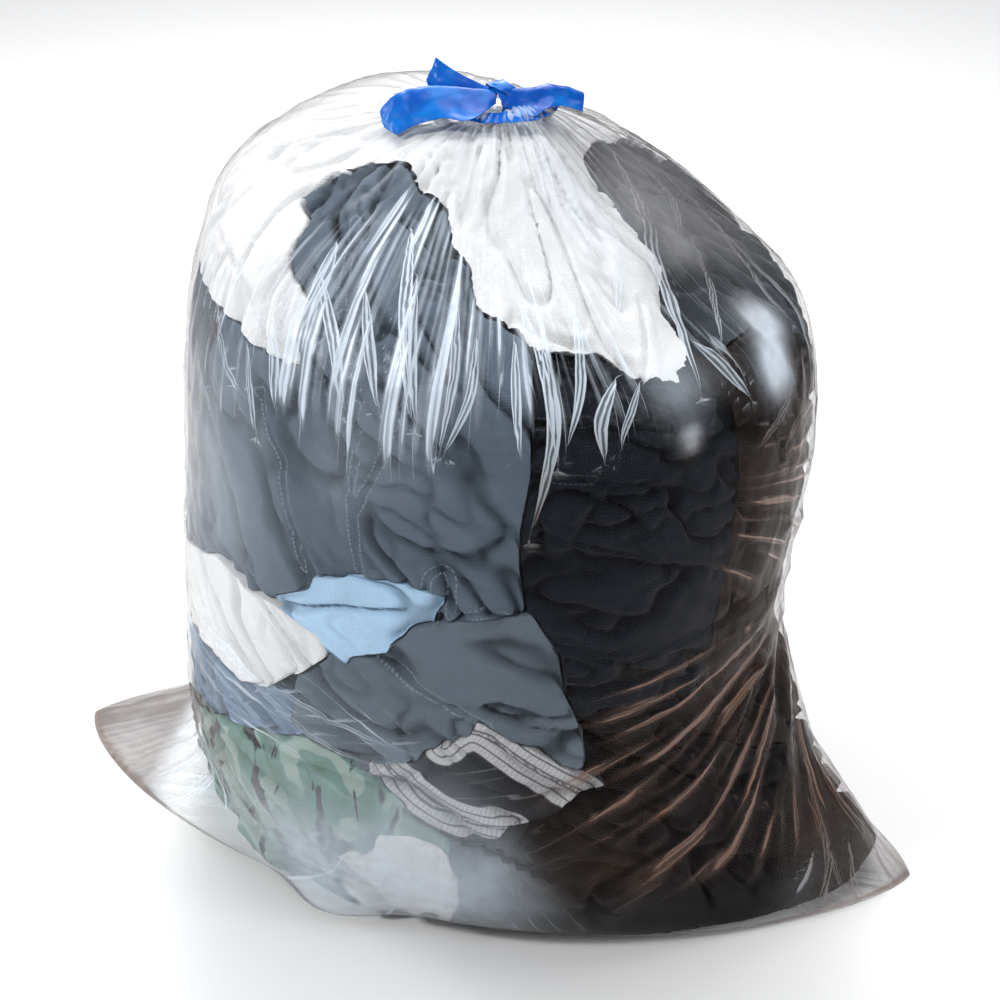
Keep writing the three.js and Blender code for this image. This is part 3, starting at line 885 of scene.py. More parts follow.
def makeFilmMaterial():
    material, tree = newMaterial("clear film")
    paintedHighlightMasks, heights = [], []
    for layer, wide, long, level, veil in filmLook["streaks"]:
        streaks = placeGroup(tree, paintedStreakGroup, {
            "Flow": keptOn(tree, layer)["Vector"],
            "Wide": wide, "Long": long, "Level": level, "Veil": veil})
        paintedHighlightMasks.append(streaks["Mask"])
        heights.append(streaks["Height"])
    for k in range(mostLayers):
        kept = keptOn(tree, f"pleat{k}")["Vector"]
        paintedHighlightMasks.append(placeGroup(tree, paintedCreaseGroup, {"Crease": kept})["Mask"])
    # the painted highlights of the streaks and the creases, together
    paintedHighlightMask = paintedHighlightMasks[0]
    for other in paintedHighlightMasks[1:]:
        paintedHighlightMask = calculate(tree, "MAXIMUM", paintedHighlightMask, other)
    paintedHighlightMask = calculate(tree, "MULTIPLY", paintedHighlightMask, filmLook["cover"])
    wrap = newNode(tree, "ShaderNodeUVMap", uv_map="filmWrap").outputs["UV"]
    crinkle = makeNoise(tree, wrap, filmLook["crinkleScale"], 1, 0.6)
    uneven = calculate(tree, "MULTIPLY_ADD", crinkle, 0.4, 0.8)
    # the haze, with the milk patches' painted glints
    hazeWithPaintedGlints = calculate(tree, "MULTIPLY", keptOn(tree, "hazeAndPaintedGlints")["Fac"], uneven)
    # body: the painted highlights, and the haze with its painted glints
    body = calculate(tree, "MAXIMUM", paintedHighlightMask, hazeWithPaintedGlints)
    # bump: streaks, then a fine crinkle
    relief = calculate(tree, "MULTIPLY_ADD", heights[1], 1.6, heights[0])
    relief = calculate(tree, "MULTIPLY_ADD", crinkle, 0.9, relief)
    edge = newNode(tree, "ShaderNodeFresnel", {"IOR": filmLook["index"]}).outputs["Fac"]
    mirror = calculate(tree, "SUBTRACT", edge, filmLook["edgeFloor"])
    mirror = calculate(tree, "MULTIPLY", mirror, filmLook["edgeGain"], clamp=True)
    whole = calculate(tree, "ADD", mirror, body, clamp=True)
    metal = calculate(tree, "DIVIDE", mirror, whole, clamp=True)
    # the tone of the painted highlights and haze: pale, grey-brown, and the painted brown
    # reflection
    tones = newNode(tree, "ShaderNodeValToRGB", {"Fac": keptOn(tree, "paintedHighlightTone")["Fac"]})
    for stop, colour in zip(tones.color_ramp.elements, (filmLook["pale"], filmLook["brown"])):
        stop.color = colour
    tones.color_ramp.elements.new(0.5).color = filmLook["greyBrownTint"]
    smoother = filmLook["mirrorRoughness"] - filmLook["streakRoughness"]
    rough = calculate(tree, "MULTIPLY_ADD", metal, smoother, filmLook["streakRoughness"])
    # the mirror part reflects in the darkened grey-brown tint, a painted darker reflection
    shell = newNode(tree, "ShaderNodeBsdfPrincipled", {
        "Base Color": mixColours(tree, metal, tones.outputs["Color"], filmLook["mirror"]),
        "Metallic": metal,
        "Roughness": rough,
        "Normal": makeBump(tree, relief, 1, filmLook["bump"])})
    clear = newNode(tree, "ShaderNodeBsdfTransparent").outputs["BSDF"]
    drawn = mixShaders(tree, whole, clear, shell.outputs["BSDF"])
    # only the face of the wall towards the eye is drawn
    back = newNode(tree, "ShaderNodeNewGeometry").outputs["Backfacing"]
    drawn = mixShaders(tree, back, drawn, clear)
    # the film is thin enough to throw no shadow
    shadow = newNode(tree, "ShaderNodeLightPath").outputs["Is Shadow Ray"]
    setSurface(tree, mixShaders(tree, shadow, drawn, clear))
    return material


film.data.materials.clear()
film.data.materials.append(makeFilmMaterial())
film.visible_shadow = False
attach(film, "root")
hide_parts("bag_film")


# What a garment has unless its own dictionary says otherwise. foldTurn 0 runs folds down from the
# knot, 90 round the bag. foldDepth is in millimetres, and foldSize scales the folds. shade is how
# dark the painted shade in the folds is. A seam's points are (turn, height) on the film. grain is
# the mesh's size and thread the weave's, in metres, and slant leans the weave: 0 for a plain one,
# 1 for twill. rib is how far threads across are left out.
plainCloth = {
    "foldTurn": 0,
    "foldDepth": 10,
    "foldSize": 1,
    "shade": 0.6,
    "grain": 0.0026,
    "thread": 0.0013,
    "slant": 0,
    "rib": 0,
    "seams": [],
}

garments = [
    {"node": "white_shirt", "colour": (0.905, 0.91, 0.915), "foldTurn": 12, "foldDepth": 4.5,
     "thread": 0.0011, "foldSize": 1.3, "shade": 0.16,
     "seams": [
         [(-31, 500), (-38, 478), (-44, 458)], [(-150, 520), (-128, 500), (-117, 470)]]},
    {"node": "white_tshirt", "colour": (0.915, 0.92, 0.92), "foldTurn": 55, "foldDepth": 6,
     "thread": 0.0012, "rib": 0.6, "shade": 0.3},
    {"node": "white_cloth", "colour": (0.88, 0.88, 0.87), "foldTurn": 70, "foldDepth": 9,
     "grain": 0.0028, "thread": 0.0014},
    {"node": "slate_jacket", "colour": (0.37, 0.42, 0.47), "foldTurn": 52, "foldDepth": 7,
     "foldSize": 0.8, "shade": 0.7, "slant": 1,
     "seams": [
         [(-96, 452), (-96, 376), (-94, 322)], [(-88, 455), (-92, 412), (-96, 376)],
         [(-118, 440), (-110, 384), (-107, 322)],
         [(-83, 290), (-83, 335), (-81, 343), (-79, 336), (-79, 312)],
         [(-79, 285), (-78, 306), (-75, 313), (-70, 311)],
         [(-140, 430), (-134, 380), (-140, 330)], [(-112, 545), (-104, 505), (-98, 470)]]},
    {"node": "navy_trousers", "colour": (0.07, 0.095, 0.13), "foldTurn": 78, "foldDepth": 8,
     "foldSize": 0.62, "slant": 1,
     "seams": [
         [(-76, 447), (-66, 449), (-56, 446)], [(-75, 410), (-66, 412), (-56, 408)]]},
    {"node": "light_blue_shirt", "colour": (0.72, 0.85, 0.96), "foldTurn": 96, "foldDepth": 6,
     "grain": 0.0022, "thread": 0.0011, "foldSize": 0.9},
    {"node": "striped_knit", "colour": (0.15, 0.15, 0.165), "foldTurn": 60, "foldDepth": 5,
     "grain": 0.0024, "thread": 0.0022, "rib": 0.8},
    {"node": "charcoal_sweater", "colour": (0.4, 0.44, 0.48), "foldTurn": 75, "foldDepth": 8,
     "thread": 0.0016, "rib": 0.7,
     "seams": [
         [(-97, 285), (-86, 255), (-72, 222)]]},
    {"node": "denim_jeans", "colour": (0.43, 0.52, 0.61), "foldTurn": 60, "foldDepth": 8,
     "grain": 0.0028, "thread": 0.0014, "slant": 1,
     "seams": [
         [(-150, 190), (-136, 176), (-124, 178), (-112, 168)]]},
    {"node": "camouflage_trousers", "colour": (0.43, 0.56, 0.52), "foldTurn": 70, "foldDepth": 9,
     "grain": 0.0028, "thread": 0.0014, "slant": 1},
    {"node": "brown_fleece", "colour": (0.098, 0.056, 0.038), "foldTurn": 45, "foldDepth": 11,
     "grain": 0.0032, "thread": 0.0024, "rib": 0.3},
    {"node": "grey_hoodie", "colour": (0.24, 0.265, 0.29), "foldTurn": 20, "foldDepth": 13,
     "grain": 0.0032, "thread": 0.0016, "rib": 0.5},
    {"node": "black_trousers", "colour": (0.048, 0.034, 0.03), "foldTurn": 60, "foldDepth": 11,
     "grain": 0.0032, "thread": 0.0014, "slant": 1},
    {"node": "marl_sweatshirt", "colour": (0.58, 0.59, 0.61), "foldTurn": 30, "grain": 0.0034,
     "thread": 0.0016, "rib": 0.6,
     "seams": [
         [(70, 525), (66, 430), (60, 320)]]},
    {"node": "green_tshirt", "colour": (0.15, 0.25, 0.19), "foldTurn": 60, "grain": 0.0034,
     "rib": 0.6,
     "seams": [
         [(118, 270), (136, 262), (154, 275)]]},
    {"node": "beige_jumper", "colour": (0.69, 0.62, 0.52), "foldTurn": 85, "grain": 0.0034,
     "thread": 0.003, "rib": 0.9},
    {"node": "olive_trousers", "colour": (0.33, 0.34, 0.24), "foldTurn": 75, "grain": 0.0034,
     "thread": 0.0014, "slant": 1,
     "seams": [
         [(62, 215), (80, 120), (95, 30)], [(112, 200), (124, 160), (148, 150)]]},
]

# The middle of the heap, behind the garments.
stackPieces = [
    {"node": "folded_bedding", "colour": (0.80, 0.79, 0.76)},
    {"node": "rolled_jumper", "colour": (0.36, 0.13, 0.16), "thread": 0.0030, "rib": 0.9},
    {"node": "folded_shirts", "colour": (0.45, 0.55, 0.68)},
    {"node": "folded_towel", "colour": (0.72, 0.76, 0.74), "thread": 0.0026},
]

cloth = {
    "foldLong": 0.105,
    "foldWide": 0.040,
    "foldDeep": 0.09,
    # a fold's valley and the creases between, their widths in the noise and how deep they are
    "valleyWide": 0.12,
    "creaseWide": 0.14,
    "creaseShare": 0.55,
    "slopeShare": 0.16,
    "fineSize": 0.012,
    "fineShare": 0.11,
    # hollows where the film stands off the clothes: turn, height, reach in degrees and in
    # height, and how deep
    "hollows": [(150, 578, 42, 24, 18), (8, 545, 34, 34, 14), (-19, 476, 9, 20, 22),
                (-42, 8, 26, 22, -34), (-10, 12, 14, 22, -34)],
    "swell": 0.22,
    "filmGap": 1.6,
    "leastGap": 0.4,
    "skin": (0.010, 0.045),
    # where packing out to the film fades: gaps this wide, and these heights, in metres
    "widestGap": (0.024, 0.034),
    "top": (0.574, 0.590),
    "bottom": (0.004, 0.02),
    "castFrom": 0.0001,
    "castTo": 0.08,
    "hiddenDepth": 0.035,
    "hiddenShare": 0.06,
    "spreads": 3,
    "seamDepth": 2.0,
    "seamReach": 0.02,
    "seamFade": 0.012,
    "grooveWide": 0.0022,
    "lipAway": 0.005,
    "lipWide": 0.003,
    "lipShare": 0.6,
    "bandReach": 0.04,
    "stackGrain": 0.005,
    "stackFold": 3,
}


# A new piece with a CAD node's shape, its loose triangles joined up.
def copyNode(node, name):
    piece = bpy.data.objects.new(name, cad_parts[node].data.copy())
    piece.data.materials.clear()
    bpy.context.scene.collection.objects.link(piece)
    editAll(piece)
    bpy.ops.mesh.remove_doubles(threshold=1e-5)
    doneEditing()
    return piece


# An even fine mesh all over a piece, with its hard edges softened.
def makeGrain(piece, size):
    remesh = piece.modifiers.new("cloth grain", "REMESH")
    remesh.mode = "VOXEL"
    remesh.voxel_size = size
    soften = piece.modifiers.new("soft edges", "SMOOTH")
    soften.factor = 0.5
    soften.iterations = 6
    applyModifiers(piece)


# How deep the folds are, from 0 to about 1.5: narrow valleys along the zero lines of warped
# noise that is stretched along the folds, with flatter cloth between them.
def foldField(places, look, seed):
    around, down = wrapOf(places)
    turn = math.radians(look["foldTurn"])
    along = down * math.cos(turn) + around * math.sin(turn)
    across = around * math.cos(turn) - down * math.sin(turn)
    inward = np.linalg.norm(places[:, :2], axis=1)
    base = np.stack([
        along / cloth["foldLong"], across / cloth["foldWide"], inward / cloth["foldDeep"]], 1)
    base /= look["foldSize"]
    warp = np.stack([waves(base * 0.9, seed + k) for k in (31, 32, 33)], 1)
    big = waves(base + 0.6 * warp, seed)
    small = waves(base * 2.2 + 0.9 * warp, seed + 5)
    fine = waves(places / cloth["fineSize"] + 1.5 * warp, seed + 7)
    valley = np.exp(-(big / cloth["valleyWide"]) ** 2)
    creased = np.exp(-(small / cloth["creaseWide"]) ** 2)
    creased *= ramp(waves(base * 0.7, seed + 8), -0.3, 0.4)
    most = valley + cloth["creaseShare"] * creased + cloth["slopeShare"] * (1 - big)
    return most + cloth["fineShare"] * fine * (1 + valley)


clothNodes = [look["node"] for look in garments]


# All the garments' faces as the frame has them, and the garment that each one belongs to, to
# find which garment lies right under the film.
def findOwners():
    points, faces, owners = [], [], []
    for owner, node in enumerate(clothNodes):
        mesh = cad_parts[node].data
        first = len(points)
        points += [v.co for v in mesh.vertices]
        faces += [[first + k for k in p.vertices] for p in mesh.polygons]
        owners += [owner] * len(mesh.polygons)
    return BVHTree.FromPolygons(points, faces), owners


clothWall, clothOwners = findOwners()


# A value on each point of a piece, evened out with its neighbours.
def spread(piece, values, times):
    edges = np.empty(len(piece.data.edges) * 2, np.int32)
    piece.data.edges.foreach_get("vertices", edges)
    a, b = edges.reshape(-1, 2).T
    count = np.bincount(a, minlength=len(values)) + np.bincount(b, minlength=len(values))
    for _ in range(times):
        total = np.bincount(a, values[b], len(values)) + np.bincount(b, values[a], len(values))
        values = 0.4 * values + 0.6 * total / np.maximum(count, 1)
    return values


# For each place, the distance from the nearest of some lines, and how far along it.
def nearestLine(places, lines, reach):
    nearest = np.zeros((len(places), 3))
    nearest[:, 0] = 1
    for line in lines:
        beside, along, length = besideLine(places, line, reach)
        beside = np.abs(beside)
        nearer = beside < nearest[:, 0]
        nearest[nearer, 0], nearest[nearer, 1] = beside[nearer], along[nearer]
    return nearest


# The clothes are packed out to the film, then folds press them in towards the middle of the
# bag, and seams sink into them.
def foldCloth(piece, look, seed):
    places = placesOf(piece)
    owner = clothNodes.index(look["node"])
    skin = wallOf(piece)
    found = [filmWall.find_nearest(place) for place in places]
    inward = -np.array([spot[1] for spot in found])
    inside = np.array([spot[3] for spot in found])
    rays = [(spot[0] - spot[1] * cloth["castFrom"], -spot[1], cloth["castTo"]) for spot in found]
    gap = np.array([skin.ray_cast(*ray)[3] or 0 for ray in rays])
    gap = np.where(gap > 0, np.minimum(gap, inside), inside)
    first = [clothWall.ray_cast(*ray)[2] for ray in rays]
    mine = np.array([face is not None and clothOwners[face] == owner for face in first], float)
    mine = spread(piece, mine, cloth["spreads"])
    fold = foldField(places, look, seed)
    outer = 1 - ramp(inside - gap, *cloth["skin"])
    packed = outer * (1 - ramp(gap, *cloth["widestGap"]))
    packed *= 1 - ramp(places[:, 2], *cloth["top"])
    packed *= ramp(places[:, 2], *cloth["bottom"]) * ramp(mine, 0.05, 0.45)
    folds = look["foldDepth"] * (fold - cloth["swell"])
    press = packed * (cloth["filmGap"] - gap / mm) + outer * folds
    turned = np.degrees(np.arctan2(places[:, 1], places[:, 0]))
    for turn, height, wide, tall, deep in cloth["hollows"]:
        aside = degreesFrom(turned, turn) / wide
        raised = (places[:, 2] / mm - height) / tall
        press += deep * outer * np.exp(-aside ** 2 - raised ** 2)
    press = np.maximum(press, outer * (cloth["leastGap"] - inside / mm))
    for line in look["seams"]:
        beside, along, length = besideLine(places, line, cloth["seamReach"])
        fade = cloth["seamFade"]
        ends = ramp(along, 0, fade) * (1 - ramp(along, length - fade, length))
        groove = np.exp(-(beside / cloth["grooveWide"]) ** 2)
        lip = np.exp(-((np.abs(beside) - cloth["lipAway"]) / cloth["lipWide"]) ** 2)
        press += cloth["seamDepth"] * (groove - cloth["lipShare"] * lip) * outer * ends
    around, down = wrapOf(places)
    setAttribute(piece, "wrap", np.stack([around, down, inside], 1))
    # how deep the fold is, which the material reads to paint shade into the folds
    setAttribute(piece, "fold", np.clip(fold, 0, 1.5) / 1.5)
    setAttribute(piece, "seam", nearestLine(places, look["seams"], cloth["seamReach"]))
    setPlaces(piece, places + inward * press[:, None] * mm)


# The inner faces can't be seen, so they are thinned.
def thinHidden(piece):
    hidden = [filmWall.find_nearest(face.center)[3] > cloth["hiddenDepth"]
              for face in piece.data.polygons]
    pick(piece)
    bpy.ops.object.mode_set(mode="EDIT")
    bpy.ops.mesh.select_mode(type="FACE")
    bpy.ops.mesh.select_all(action="DESELECT")
    bpy.ops.object.mode_set(mode="OBJECT")
    piece.data.polygons.foreach_set("select", hidden)
    bpy.ops.object.mode_set(mode="EDIT")
    bpy.ops.mesh.decimate(ratio=cloth["hiddenShare"])
    doneEditing()


# Woven or knitted cloth: threads both ways, a nap, uneven dye, and painted shade that darkens the
# folds.
def makeWeaveGroup():
    tree, start = newGroup("cloth weave", {
        "Wrap": "Vector", "Colour": "Color", "Fold": 0, "Shade": 0.5, "Thread": 0.0013,
        "Slant": 0, "Rib": 0,
    }, {"Colour": "Color", "Height": "Float"})
    wrap = splitVector(tree, start["Wrap"])
    pitch = calculate(tree, "DIVIDE", 2 * math.pi, start["Thread"])
    across = calculate(tree, "MULTIPLY", wrap["X"], pitch)
    along = calculate(tree, "MULTIPLY", wrap["Y"], pitch)
    leaned = calculate(tree, "MULTIPLY_ADD", along, start["Slant"], across)
    warp = calculate(tree, "SINE", leaned)
    plain = calculate(tree, "SUBTRACT", 1, start["Rib"])
    weft = calculate(tree, "MULTIPLY", calculate(tree, "SINE", along), plain)
    threads = calculate(tree, "MAXIMUM", warp, weft)
    nap = makeNoise(tree, start["Wrap"], 420, 1, 0.7)
    dye = makeNoise(tree, start["Wrap"], 17, 3, 0.62)
    shade = calculate(tree, "MULTIPLY_ADD", threads, 0.05, 0.74)
    shade = calculate(tree, "MULTIPLY_ADD", dye, 0.34, shade)
    shade = calculate(tree, "MULTIPLY_ADD", nap, 0.18, shade)
    # painted shade: the colour is darkened where the folds are deep
    deep = calculate(tree, "MULTIPLY", start["Fold"], start["Shade"])
    shade = calculate(tree, "MULTIPLY", shade, calculate(tree, "SUBTRACT", 1.08, deep))
    scaled = newNode(tree, "ShaderNodeVectorMath", operation="SCALE")
    tree.links.new(start["Colour"], scaled.inputs[0])
    tree.links.new(shade, scaled.inputs["Scale"])
    return endGroup(tree, {
        "Colour": scaled.outputs["Vector"],
        "Height": calculate(tree, "MULTIPLY_ADD", nap, 1.6, threads)})


# A row of stitches on each side of a seam: X is the distance from it and Y runs along it.
def makeStitchGroup():
    tree, start = newGroup("seam stitching", {"Seam": "Vector", "Pitch": 0.0036},
                           {"Stitches": "Float", "Height": "Float"})
    seam = splitVector(tree, start["Seam"])
    away = calculate(tree, "ABSOLUTE", calculate(tree, "SUBTRACT", seam["X"], 0.0032))
    thread = smoothStep(tree, away, 0.0008, 0.0004)
    dash = calculate(tree, "FRACT", calculate(tree, "DIVIDE", seam["Y"], start["Pitch"]))
    stitches = calculate(tree, "MULTIPLY", thread, smoothStep(tree, dash, 0.72, 0.62))
    groove = smoothStep(tree, seam["X"], 0.0002, 0.0010)
    return endGroup(tree, {
        "Stitches": stitches, "Height": calculate(tree, "ADD", groove, stitches)})


weaveGroup = makeWeaveGroup()
stitchGroup = makeStitchGroup()


# A generic woodland print: sage ground, darker patches and branching strokes.
def camouflagePrint(tree, ground):
    wrap = keptOn(tree, "wrap")["Vector"]
    patch = makeNoise(tree, wrap, 21, 2, 0.5, 0.8)
    stretch = newNode(tree, "ShaderNodeMapping", {
        "Vector": wrap, "Rotation": (0, 0, 0.35), "Scale": (1, 0.32, 1)})
    stroke = makeNoise(tree, stretch.outputs["Vector"], 46, 2, 0.6, 1.0)
    colour = mixColours(tree, smoothStep(tree, patch, 0.53, 0.56), ground, tint(0.60, 0.68, 0.64))
    colour = mixColours(tree, smoothStep(tree, patch, 0.45, 0.42), colour, tint(0.40, 0.52, 0.46))
    branch = smoothStep(tree, stroke, 0.585, 0.61)
    return mixColours(tree, branch, colour, tint(0.20, 0.19, 0.20))


# Pale ribbed bands with dark lines, on the knit's cuff and hem.
knitBands = [
    [(-94, 192), (-88, 168), (-82, 148), (-76, 138), (-70, 134)],
    [(-80, 204), (-74, 218), (-64, 186), (-55, 156)],
]


def knitBandPrint(tree, ground):
    band = splitVector(tree, keptOn(tree, "band")["Vector"])
    away = calculate(tree, "ABSOLUTE", band["X"])
    lines = calculate(tree, "SINE", calculate(tree, "MULTIPLY", band["X"], 900))
    ribs = calculate(tree, "SINE", calculate(tree, "MULTIPLY", band["Y"], 1700))
    ribs = calculate(tree, "MULTIPLY_ADD", ribs, 0.16, 0.16)
    pale = mixColours(tree, ribs, tint(0.78, 0.78, 0.79), tint(0.45, 0.45, 0.47))
    pale = mixColours(tree, smoothStep(tree, lines, 0.70, 0.92), pale, tint(0.44, 0.44, 0.46))
    return mixColours(tree, smoothStep(tree, away, 0.0165, 0.0150), ground, pale)


prints = {"camouflage_trousers": camouflagePrint, "striped_knit": knitBandPrint}


def makeClothMaterial(look):
    material, tree = newMaterial(look["node"] + " cloth")
    ground = tint(*look["colour"])
    printed = prints.get(look["node"])
    weave = placeGroup(tree, weaveGroup, {
        "Wrap": keptOn(tree, "wrap")["Vector"],
        "Fold": keptOn(tree, "fold")["Fac"],
        "Colour": printed(tree, ground) if printed else ground,
        "Thread": look["thread"],
        "Slant": look["slant"],
        "Rib": look["rib"],
        "Shade": look["shade"],
    })
    colour, height = weave["Colour"], weave["Height"]
    if look["seams"]:
        seam = keptOn(tree, "seam")["Vector"]
        stitches = placeGroup(tree, stitchGroup, {"Seam": seam})
        thread = (*(min(c * 1.5 + 0.03, 0.9) for c in ground[:3]), 1)
        colour = mixColours(tree, stitches["Stitches"], colour, thread)
        height = calculate(tree, "MULTIPLY_ADD", stitches["Height"], 2.5, height)
    shader = newNode(tree, "ShaderNodeBsdfPrincipled", {
        "Base Color": colour,
        "Roughness": 0.9,
        "Sheen Weight": 0.04,
        "Sheen Roughness": 0.5,
        "Specular IOR Level": 0.12,
        "Normal": makeBump(tree, height, 0.55, 0.00045)})
    setSurface(tree, shader.outputs["BSDF"])
    return material


def finishCloth(piece, look):
    smoothShade(piece, 80)
    piece.data.materials.append(makeClothMaterial(look))
    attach(piece, "root")
    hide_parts(look["node"])
    print("cloth:", piece.name, len(piece.data.polygons), "faces")


for seed, garment in enumerate(garments):
    look = {**plainCloth, **garment}
    piece = copyNode(look["node"], look["node"] + "_cloth")
    makeGrain(piece, look["grain"])
    foldCloth(piece, look, seed * 10)
    if look["node"] == "striped_knit":
        setAttribute(piece, "band", nearestLine(placesOf(piece), knitBands, cloth["bandReach"]))
    if look["node"] != "grey_hoodie":
        thinHidden(piece)
    finishCloth(piece, look)

for seed, garment in enumerate(stackPieces):
    look = {**plainCloth, **garment}
    piece = copyNode(look["node"], look["node"] + "_cloth")
    makeGrain(piece, cloth["stackGrain"])
    places, normals = placesOf(piece), normalsOf(piece)
    fold = np.clip(foldField(places, look, seed + 300), 0, 1.5)
    wrap = [places[:, 0], places[:, 1] + places[:, 2], wrapOf(places)[1]]
    setAttribute(piece, "wrap", np.stack(wrap, 1))
    # how deep the fold is, which the material reads to paint shade into the folds
    setAttribute(piece, "fold", fold / 1.5)
    setPlaces(piece, places - normals * (cloth["stackFold"] * mm * fold)[:, None])
    finishCloth(piece, look)


# The drawtape: patches of control points in millimetres, each row running out from the knot.
tapeForm = {
    "wall": 0.0005,
    "stepsAlong": 12,
    "stepsAcross": 28,
    "crumpleWide": 0.016,
    "crumpleHigh": 1.6,
    "front": {
        "petal": [
            [(1, -10, 608), (-17, -13, 607), (-40, -12, 605),
             (-59, -16, 603), (-71, -25, 599), (-74, -34, 595)],
            [(2, -14, 609), (-14, -20, 611), (-35, -24, 612),
             (-54, -29, 610), (-68, -35, 604), (-76, -38, 594)],
            [(3, -18, 606), (-11, -30, 604), (-31, -38, 603),
             (-50, -43, 600), (-64, -48, 594), (-74, -42, 589)],
            [(4, -21, 602), (-6, -48, 597), (-28, -48, 596),
             (-46, -51, 590), (-56, -58, 585), (-70, -47, 585)],
        ],
        "corner": [
            [(1, -9, 609), (-8, -10, 611), (-26, -8, 617), (-37, -7, 622), (-46, -6, 627)],
            [(2, -12, 607), (-11, -13, 609), (-29, -14, 611), (-42, -14, 614), (-48, -9, 620)],
            [(2, -14, 604), (-14, -14, 603), (-31, -16, 602), (-46, -15, 604), (-51, -12, 612)],
        ],
        "turn": [
            [(-6, -4, 603), (-4, -13, 612), (6, -17, 611), (13, -12, 603), (8, 0, 598)],
            [(-4, -1, 604), (-1, -9, 614), (9, -13, 612), (17, -8, 604), (12, 3, 599)],
            [(-2, 3, 603), (3, -4, 614), (12, -8, 612), (19, -3, 604), (14, 6, 599)],
        ],
    },
    "rear": {
        "strip": [
            [(5, -8, 608), (14, -5, 609), (23, 2, 609),
             (32, 12, 610), (43, 19, 607), (55, 22, 603)],
            [(5, -12, 609), (16, -10, 610), (26, -4, 609),
             (35, 6, 609), (46, 13, 608), (57, 17, 602)],
            [(6, -16, 606), (17, -14, 605), (28, -11, 602),
             (36, 0, 604), (46, 9, 602), (58, 13, 598)],
            [(8, -20, 601), (17, -20, 598), (32, -23, 596),
             (39, -10, 599), (46, 2, 598), (59, 8, 594)],
        ],
        "cross": [
            [(-12, 4, 602), (-8, -6, 611), (1, -15, 610), (8, -20, 603), (9, -22, 597)],
            [(-7, 6, 604), (-3, -3, 613), (5, -12, 612), (12, -17, 604), (13, -18, 598)],
            [(-2, 8, 604), (2, 0, 613), (9, -8, 612), (16, -13, 604), (17, -14, 598)],
        ],
    },
    "hemInner": (29, 598),
    "hemOuter": (41, 594),
    "hemWaves": 21,
}


# A strip of tape through a grid of control points, crumpled. It is given its thickness once the
# strips are joined.
def makeTapePatch(name, rows, seed):
    piece = newGrid(name, tapeForm["stepsAlong"] * len(rows[0]), tapeForm["stepsAcross"])
    flat = placesOf(piece) + 0.5
    table = np.array(rows, float) * mm
    outward = spline(np.swapaxes(table, 0, 1), flat[:, 0] * (table.shape[1] - 1))
    across = flat[:, 1] * (table.shape[0] - 1)
    places = np.array([spline(line, [at])[0] for line, at in zip(outward, across)])
    setPlaces(piece, places)
    normals = normalsOf(piece)
    crumple = np.abs(waves(places / tapeForm["crumpleWide"], seed)) - 0.3
    crumple += 0.25 * waves(places / (0.5 * tapeForm["crumpleWide"]), seed + 1)
    setPlaces(piece, places + normals * (tapeForm["crumpleHigh"] * mm * crumple)[:, None])
    return piece


# Half of the tape's run inside the hem, gathered round the neck.
def hemRows(fromTurn, toTurn):
    turns = np.radians(np.linspace(fromTurn, toTurn, 64))
    rows = []
    for share in (0, 0.5, 1):
        radius, height = (
            a + (b - a) * share for a, b in zip(tapeForm["hemInner"], tapeForm["hemOuter"]))
        wave = 1.6 * np.sin(turns * tapeForm["hemWaves"] + share)
        out = radius + wave
        rows.append(np.stack([out * np.cos(turns), out * np.sin(turns), height + wave / 2], 1))
    return rows


def makeTape(name, node, patches, hem):
    parts = [makeTapePatch(name + "_" + part, rows, 40 + k)
             for k, (part, rows) in enumerate(patches.items())]
    parts.append(makeTapePatch(name + "_hem", hem, 50))
    deselectAll()
    for part in parts:
        part.select_set(True)
    bpy.context.view_layer.objects.active = parts[0]
    bpy.ops.object.join()
    piece = bpy.context.object
    piece.name = name
    addWall(piece, tapeForm["wall"], 0)
    smoothShade(piece, 60)
    piece.data.materials.clear()
    piece.data.materials.append(tapeMaterial)
    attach(piece, "root")
    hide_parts(node)
    print("tape:", name, len(piece.data.polygons), "faces")


def makeTapeMaterial():
    material, tree = newMaterial("blue tape")
    place = newNode(tree, "ShaderNodeTexCoord").outputs["Object"]
    light = smoothStep(tree, makeNoise(tree, place, 48, 3), 0.35, 0.7)
    shader = newNode(tree, "ShaderNodeBsdfPrincipled", {
        "Base Color": mixColours(tree, light, tint(0.0, 0.30, 0.68), tint(0.0, 0.44, 0.80)),
        "Roughness": 0.3,
        "Specular IOR Level": 0.22,
        "Normal": makeBump(tree, makeNoise(tree, place, 110, 2), 0.3, 0.001)})
    setSurface(tree, shader.outputs["BSDF"])
    return material


tapeMaterial = makeTapeMaterial()
makeTape("drawtape_front_strip", "drawtape_front", tapeForm["front"], hemRows(-178, -6))
makeTape("drawtape_rear_strip", "drawtape_rear", tapeForm["rear"], hemRows(2, 174))


def makeCamera():
    data = bpy.data.cameras.new("camera")
    data.lens = camera["lens"]
    piece = bpy.data.objects.new("camera", data)
    bpy.context.scene.collection.objects.link(piece)
    turn, height = math.radians(camera["turn"]), math.radians(camera["height"])
    back = Vector((
        math.sin(turn) * math.cos(height),
        -math.cos(turn) * math.cos(height),
        math.sin(height),
    ))
    piece.location = Vector(camera["target"]) + back * camera["distance"]
    piece.rotation_euler = (-back).to_track_quat("-Z", "Y").to_euler()
    bpy.context.scene.camera = piece


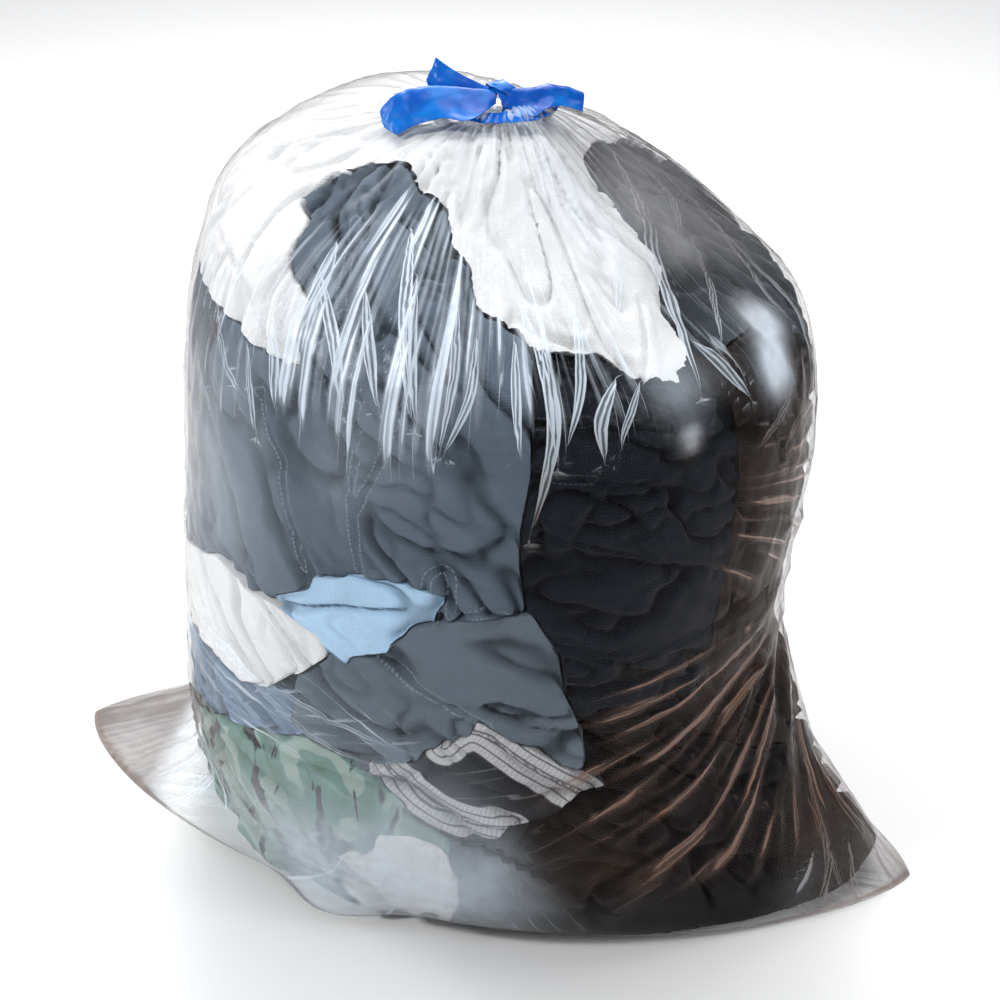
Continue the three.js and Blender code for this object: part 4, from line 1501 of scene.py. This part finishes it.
# name, place, what it aims at, size, and power in watts
lamps = [
    ("key", (-1.3, -1.6, 2.0), (0, 0, 0.35), (0.4, 0.4), 31),
    ("top", (0.1, 0.3, 2.6), (0, 0, 0.3), (1.4, 1.4), 27),
    ("left strip", (-2.0, 0.2, 1.0), (0, 0, 0.3), (0.25, 1.6), 12),
    ("right strip", (1.9, -0.4, 1.1), (0, 0, 0.3), (0.2, 1.4), 11),
    ("rear", (-0.8, 1.8, 1.8), (0, 0, 0.4), (0.8, 0.8), 18),
    ("backdrop", (-0.9, 2.4, 3.2), (-0.9, 2.6, 0), (3.0, 1.6), 70),
]


def makeLamp(name, place, aim, size, power):
    data = bpy.data.lights.new(name, "AREA")
    data.shape = "RECTANGLE"
    data.size, data.size_y = size
    data.energy = power
    piece = bpy.data.objects.new(name, data)
    bpy.context.scene.collection.objects.link(piece)
    piece.location = place
    aim = Vector(aim) - Vector(place)
    piece.rotation_euler = aim.to_track_quat("-Z", "Y").to_euler()


studio = {
    "sky": (0.85, 0.87, 0.9, 1),
    "skyStrength": 0.36,
    "floorSize": 8,
    "floorColour": (0.86, 0.86, 0.86, 1),
    "throughFilm": 14,
    "bounces": 3,
    "diffuseBounces": 2,
    "glossyBounces": 1,
}


def makeStudio():
    for look in lamps:
        makeLamp(*look)
    world = bpy.data.worlds.new("studio")
    bpy.context.scene.world = world
    world.use_nodes = True
    sky = world.node_tree.nodes["Background"]
    sky.inputs["Color"].default_value = studio["sky"]
    sky.inputs["Strength"].default_value = studio["skyStrength"]
    bpy.context.scene.view_settings.view_transform = "Standard"
    light = bpy.context.scene.cycles
    light.transparent_max_bounces = studio["throughFilm"]
    light.max_bounces = studio["bounces"]
    light.diffuse_bounces = studio["diffuseBounces"]
    light.glossy_bounces = studio["glossyBounces"]
    deselectAll()
    bpy.ops.mesh.primitive_plane_add(size=studio["floorSize"], location=(0, 0, 0))
    floor = bpy.context.object
    floor.name = "floor"
    material, tree = newMaterial("floor")
    shader = newNode(tree, "ShaderNodeBsdfPrincipled", {
        "Base Color": studio["floorColour"], "Roughness": 0.6})
    setSurface(tree, shader.outputs["BSDF"])
    floor.data.materials.append(material)


makeCamera()
makeStudio()
print("studio: done")
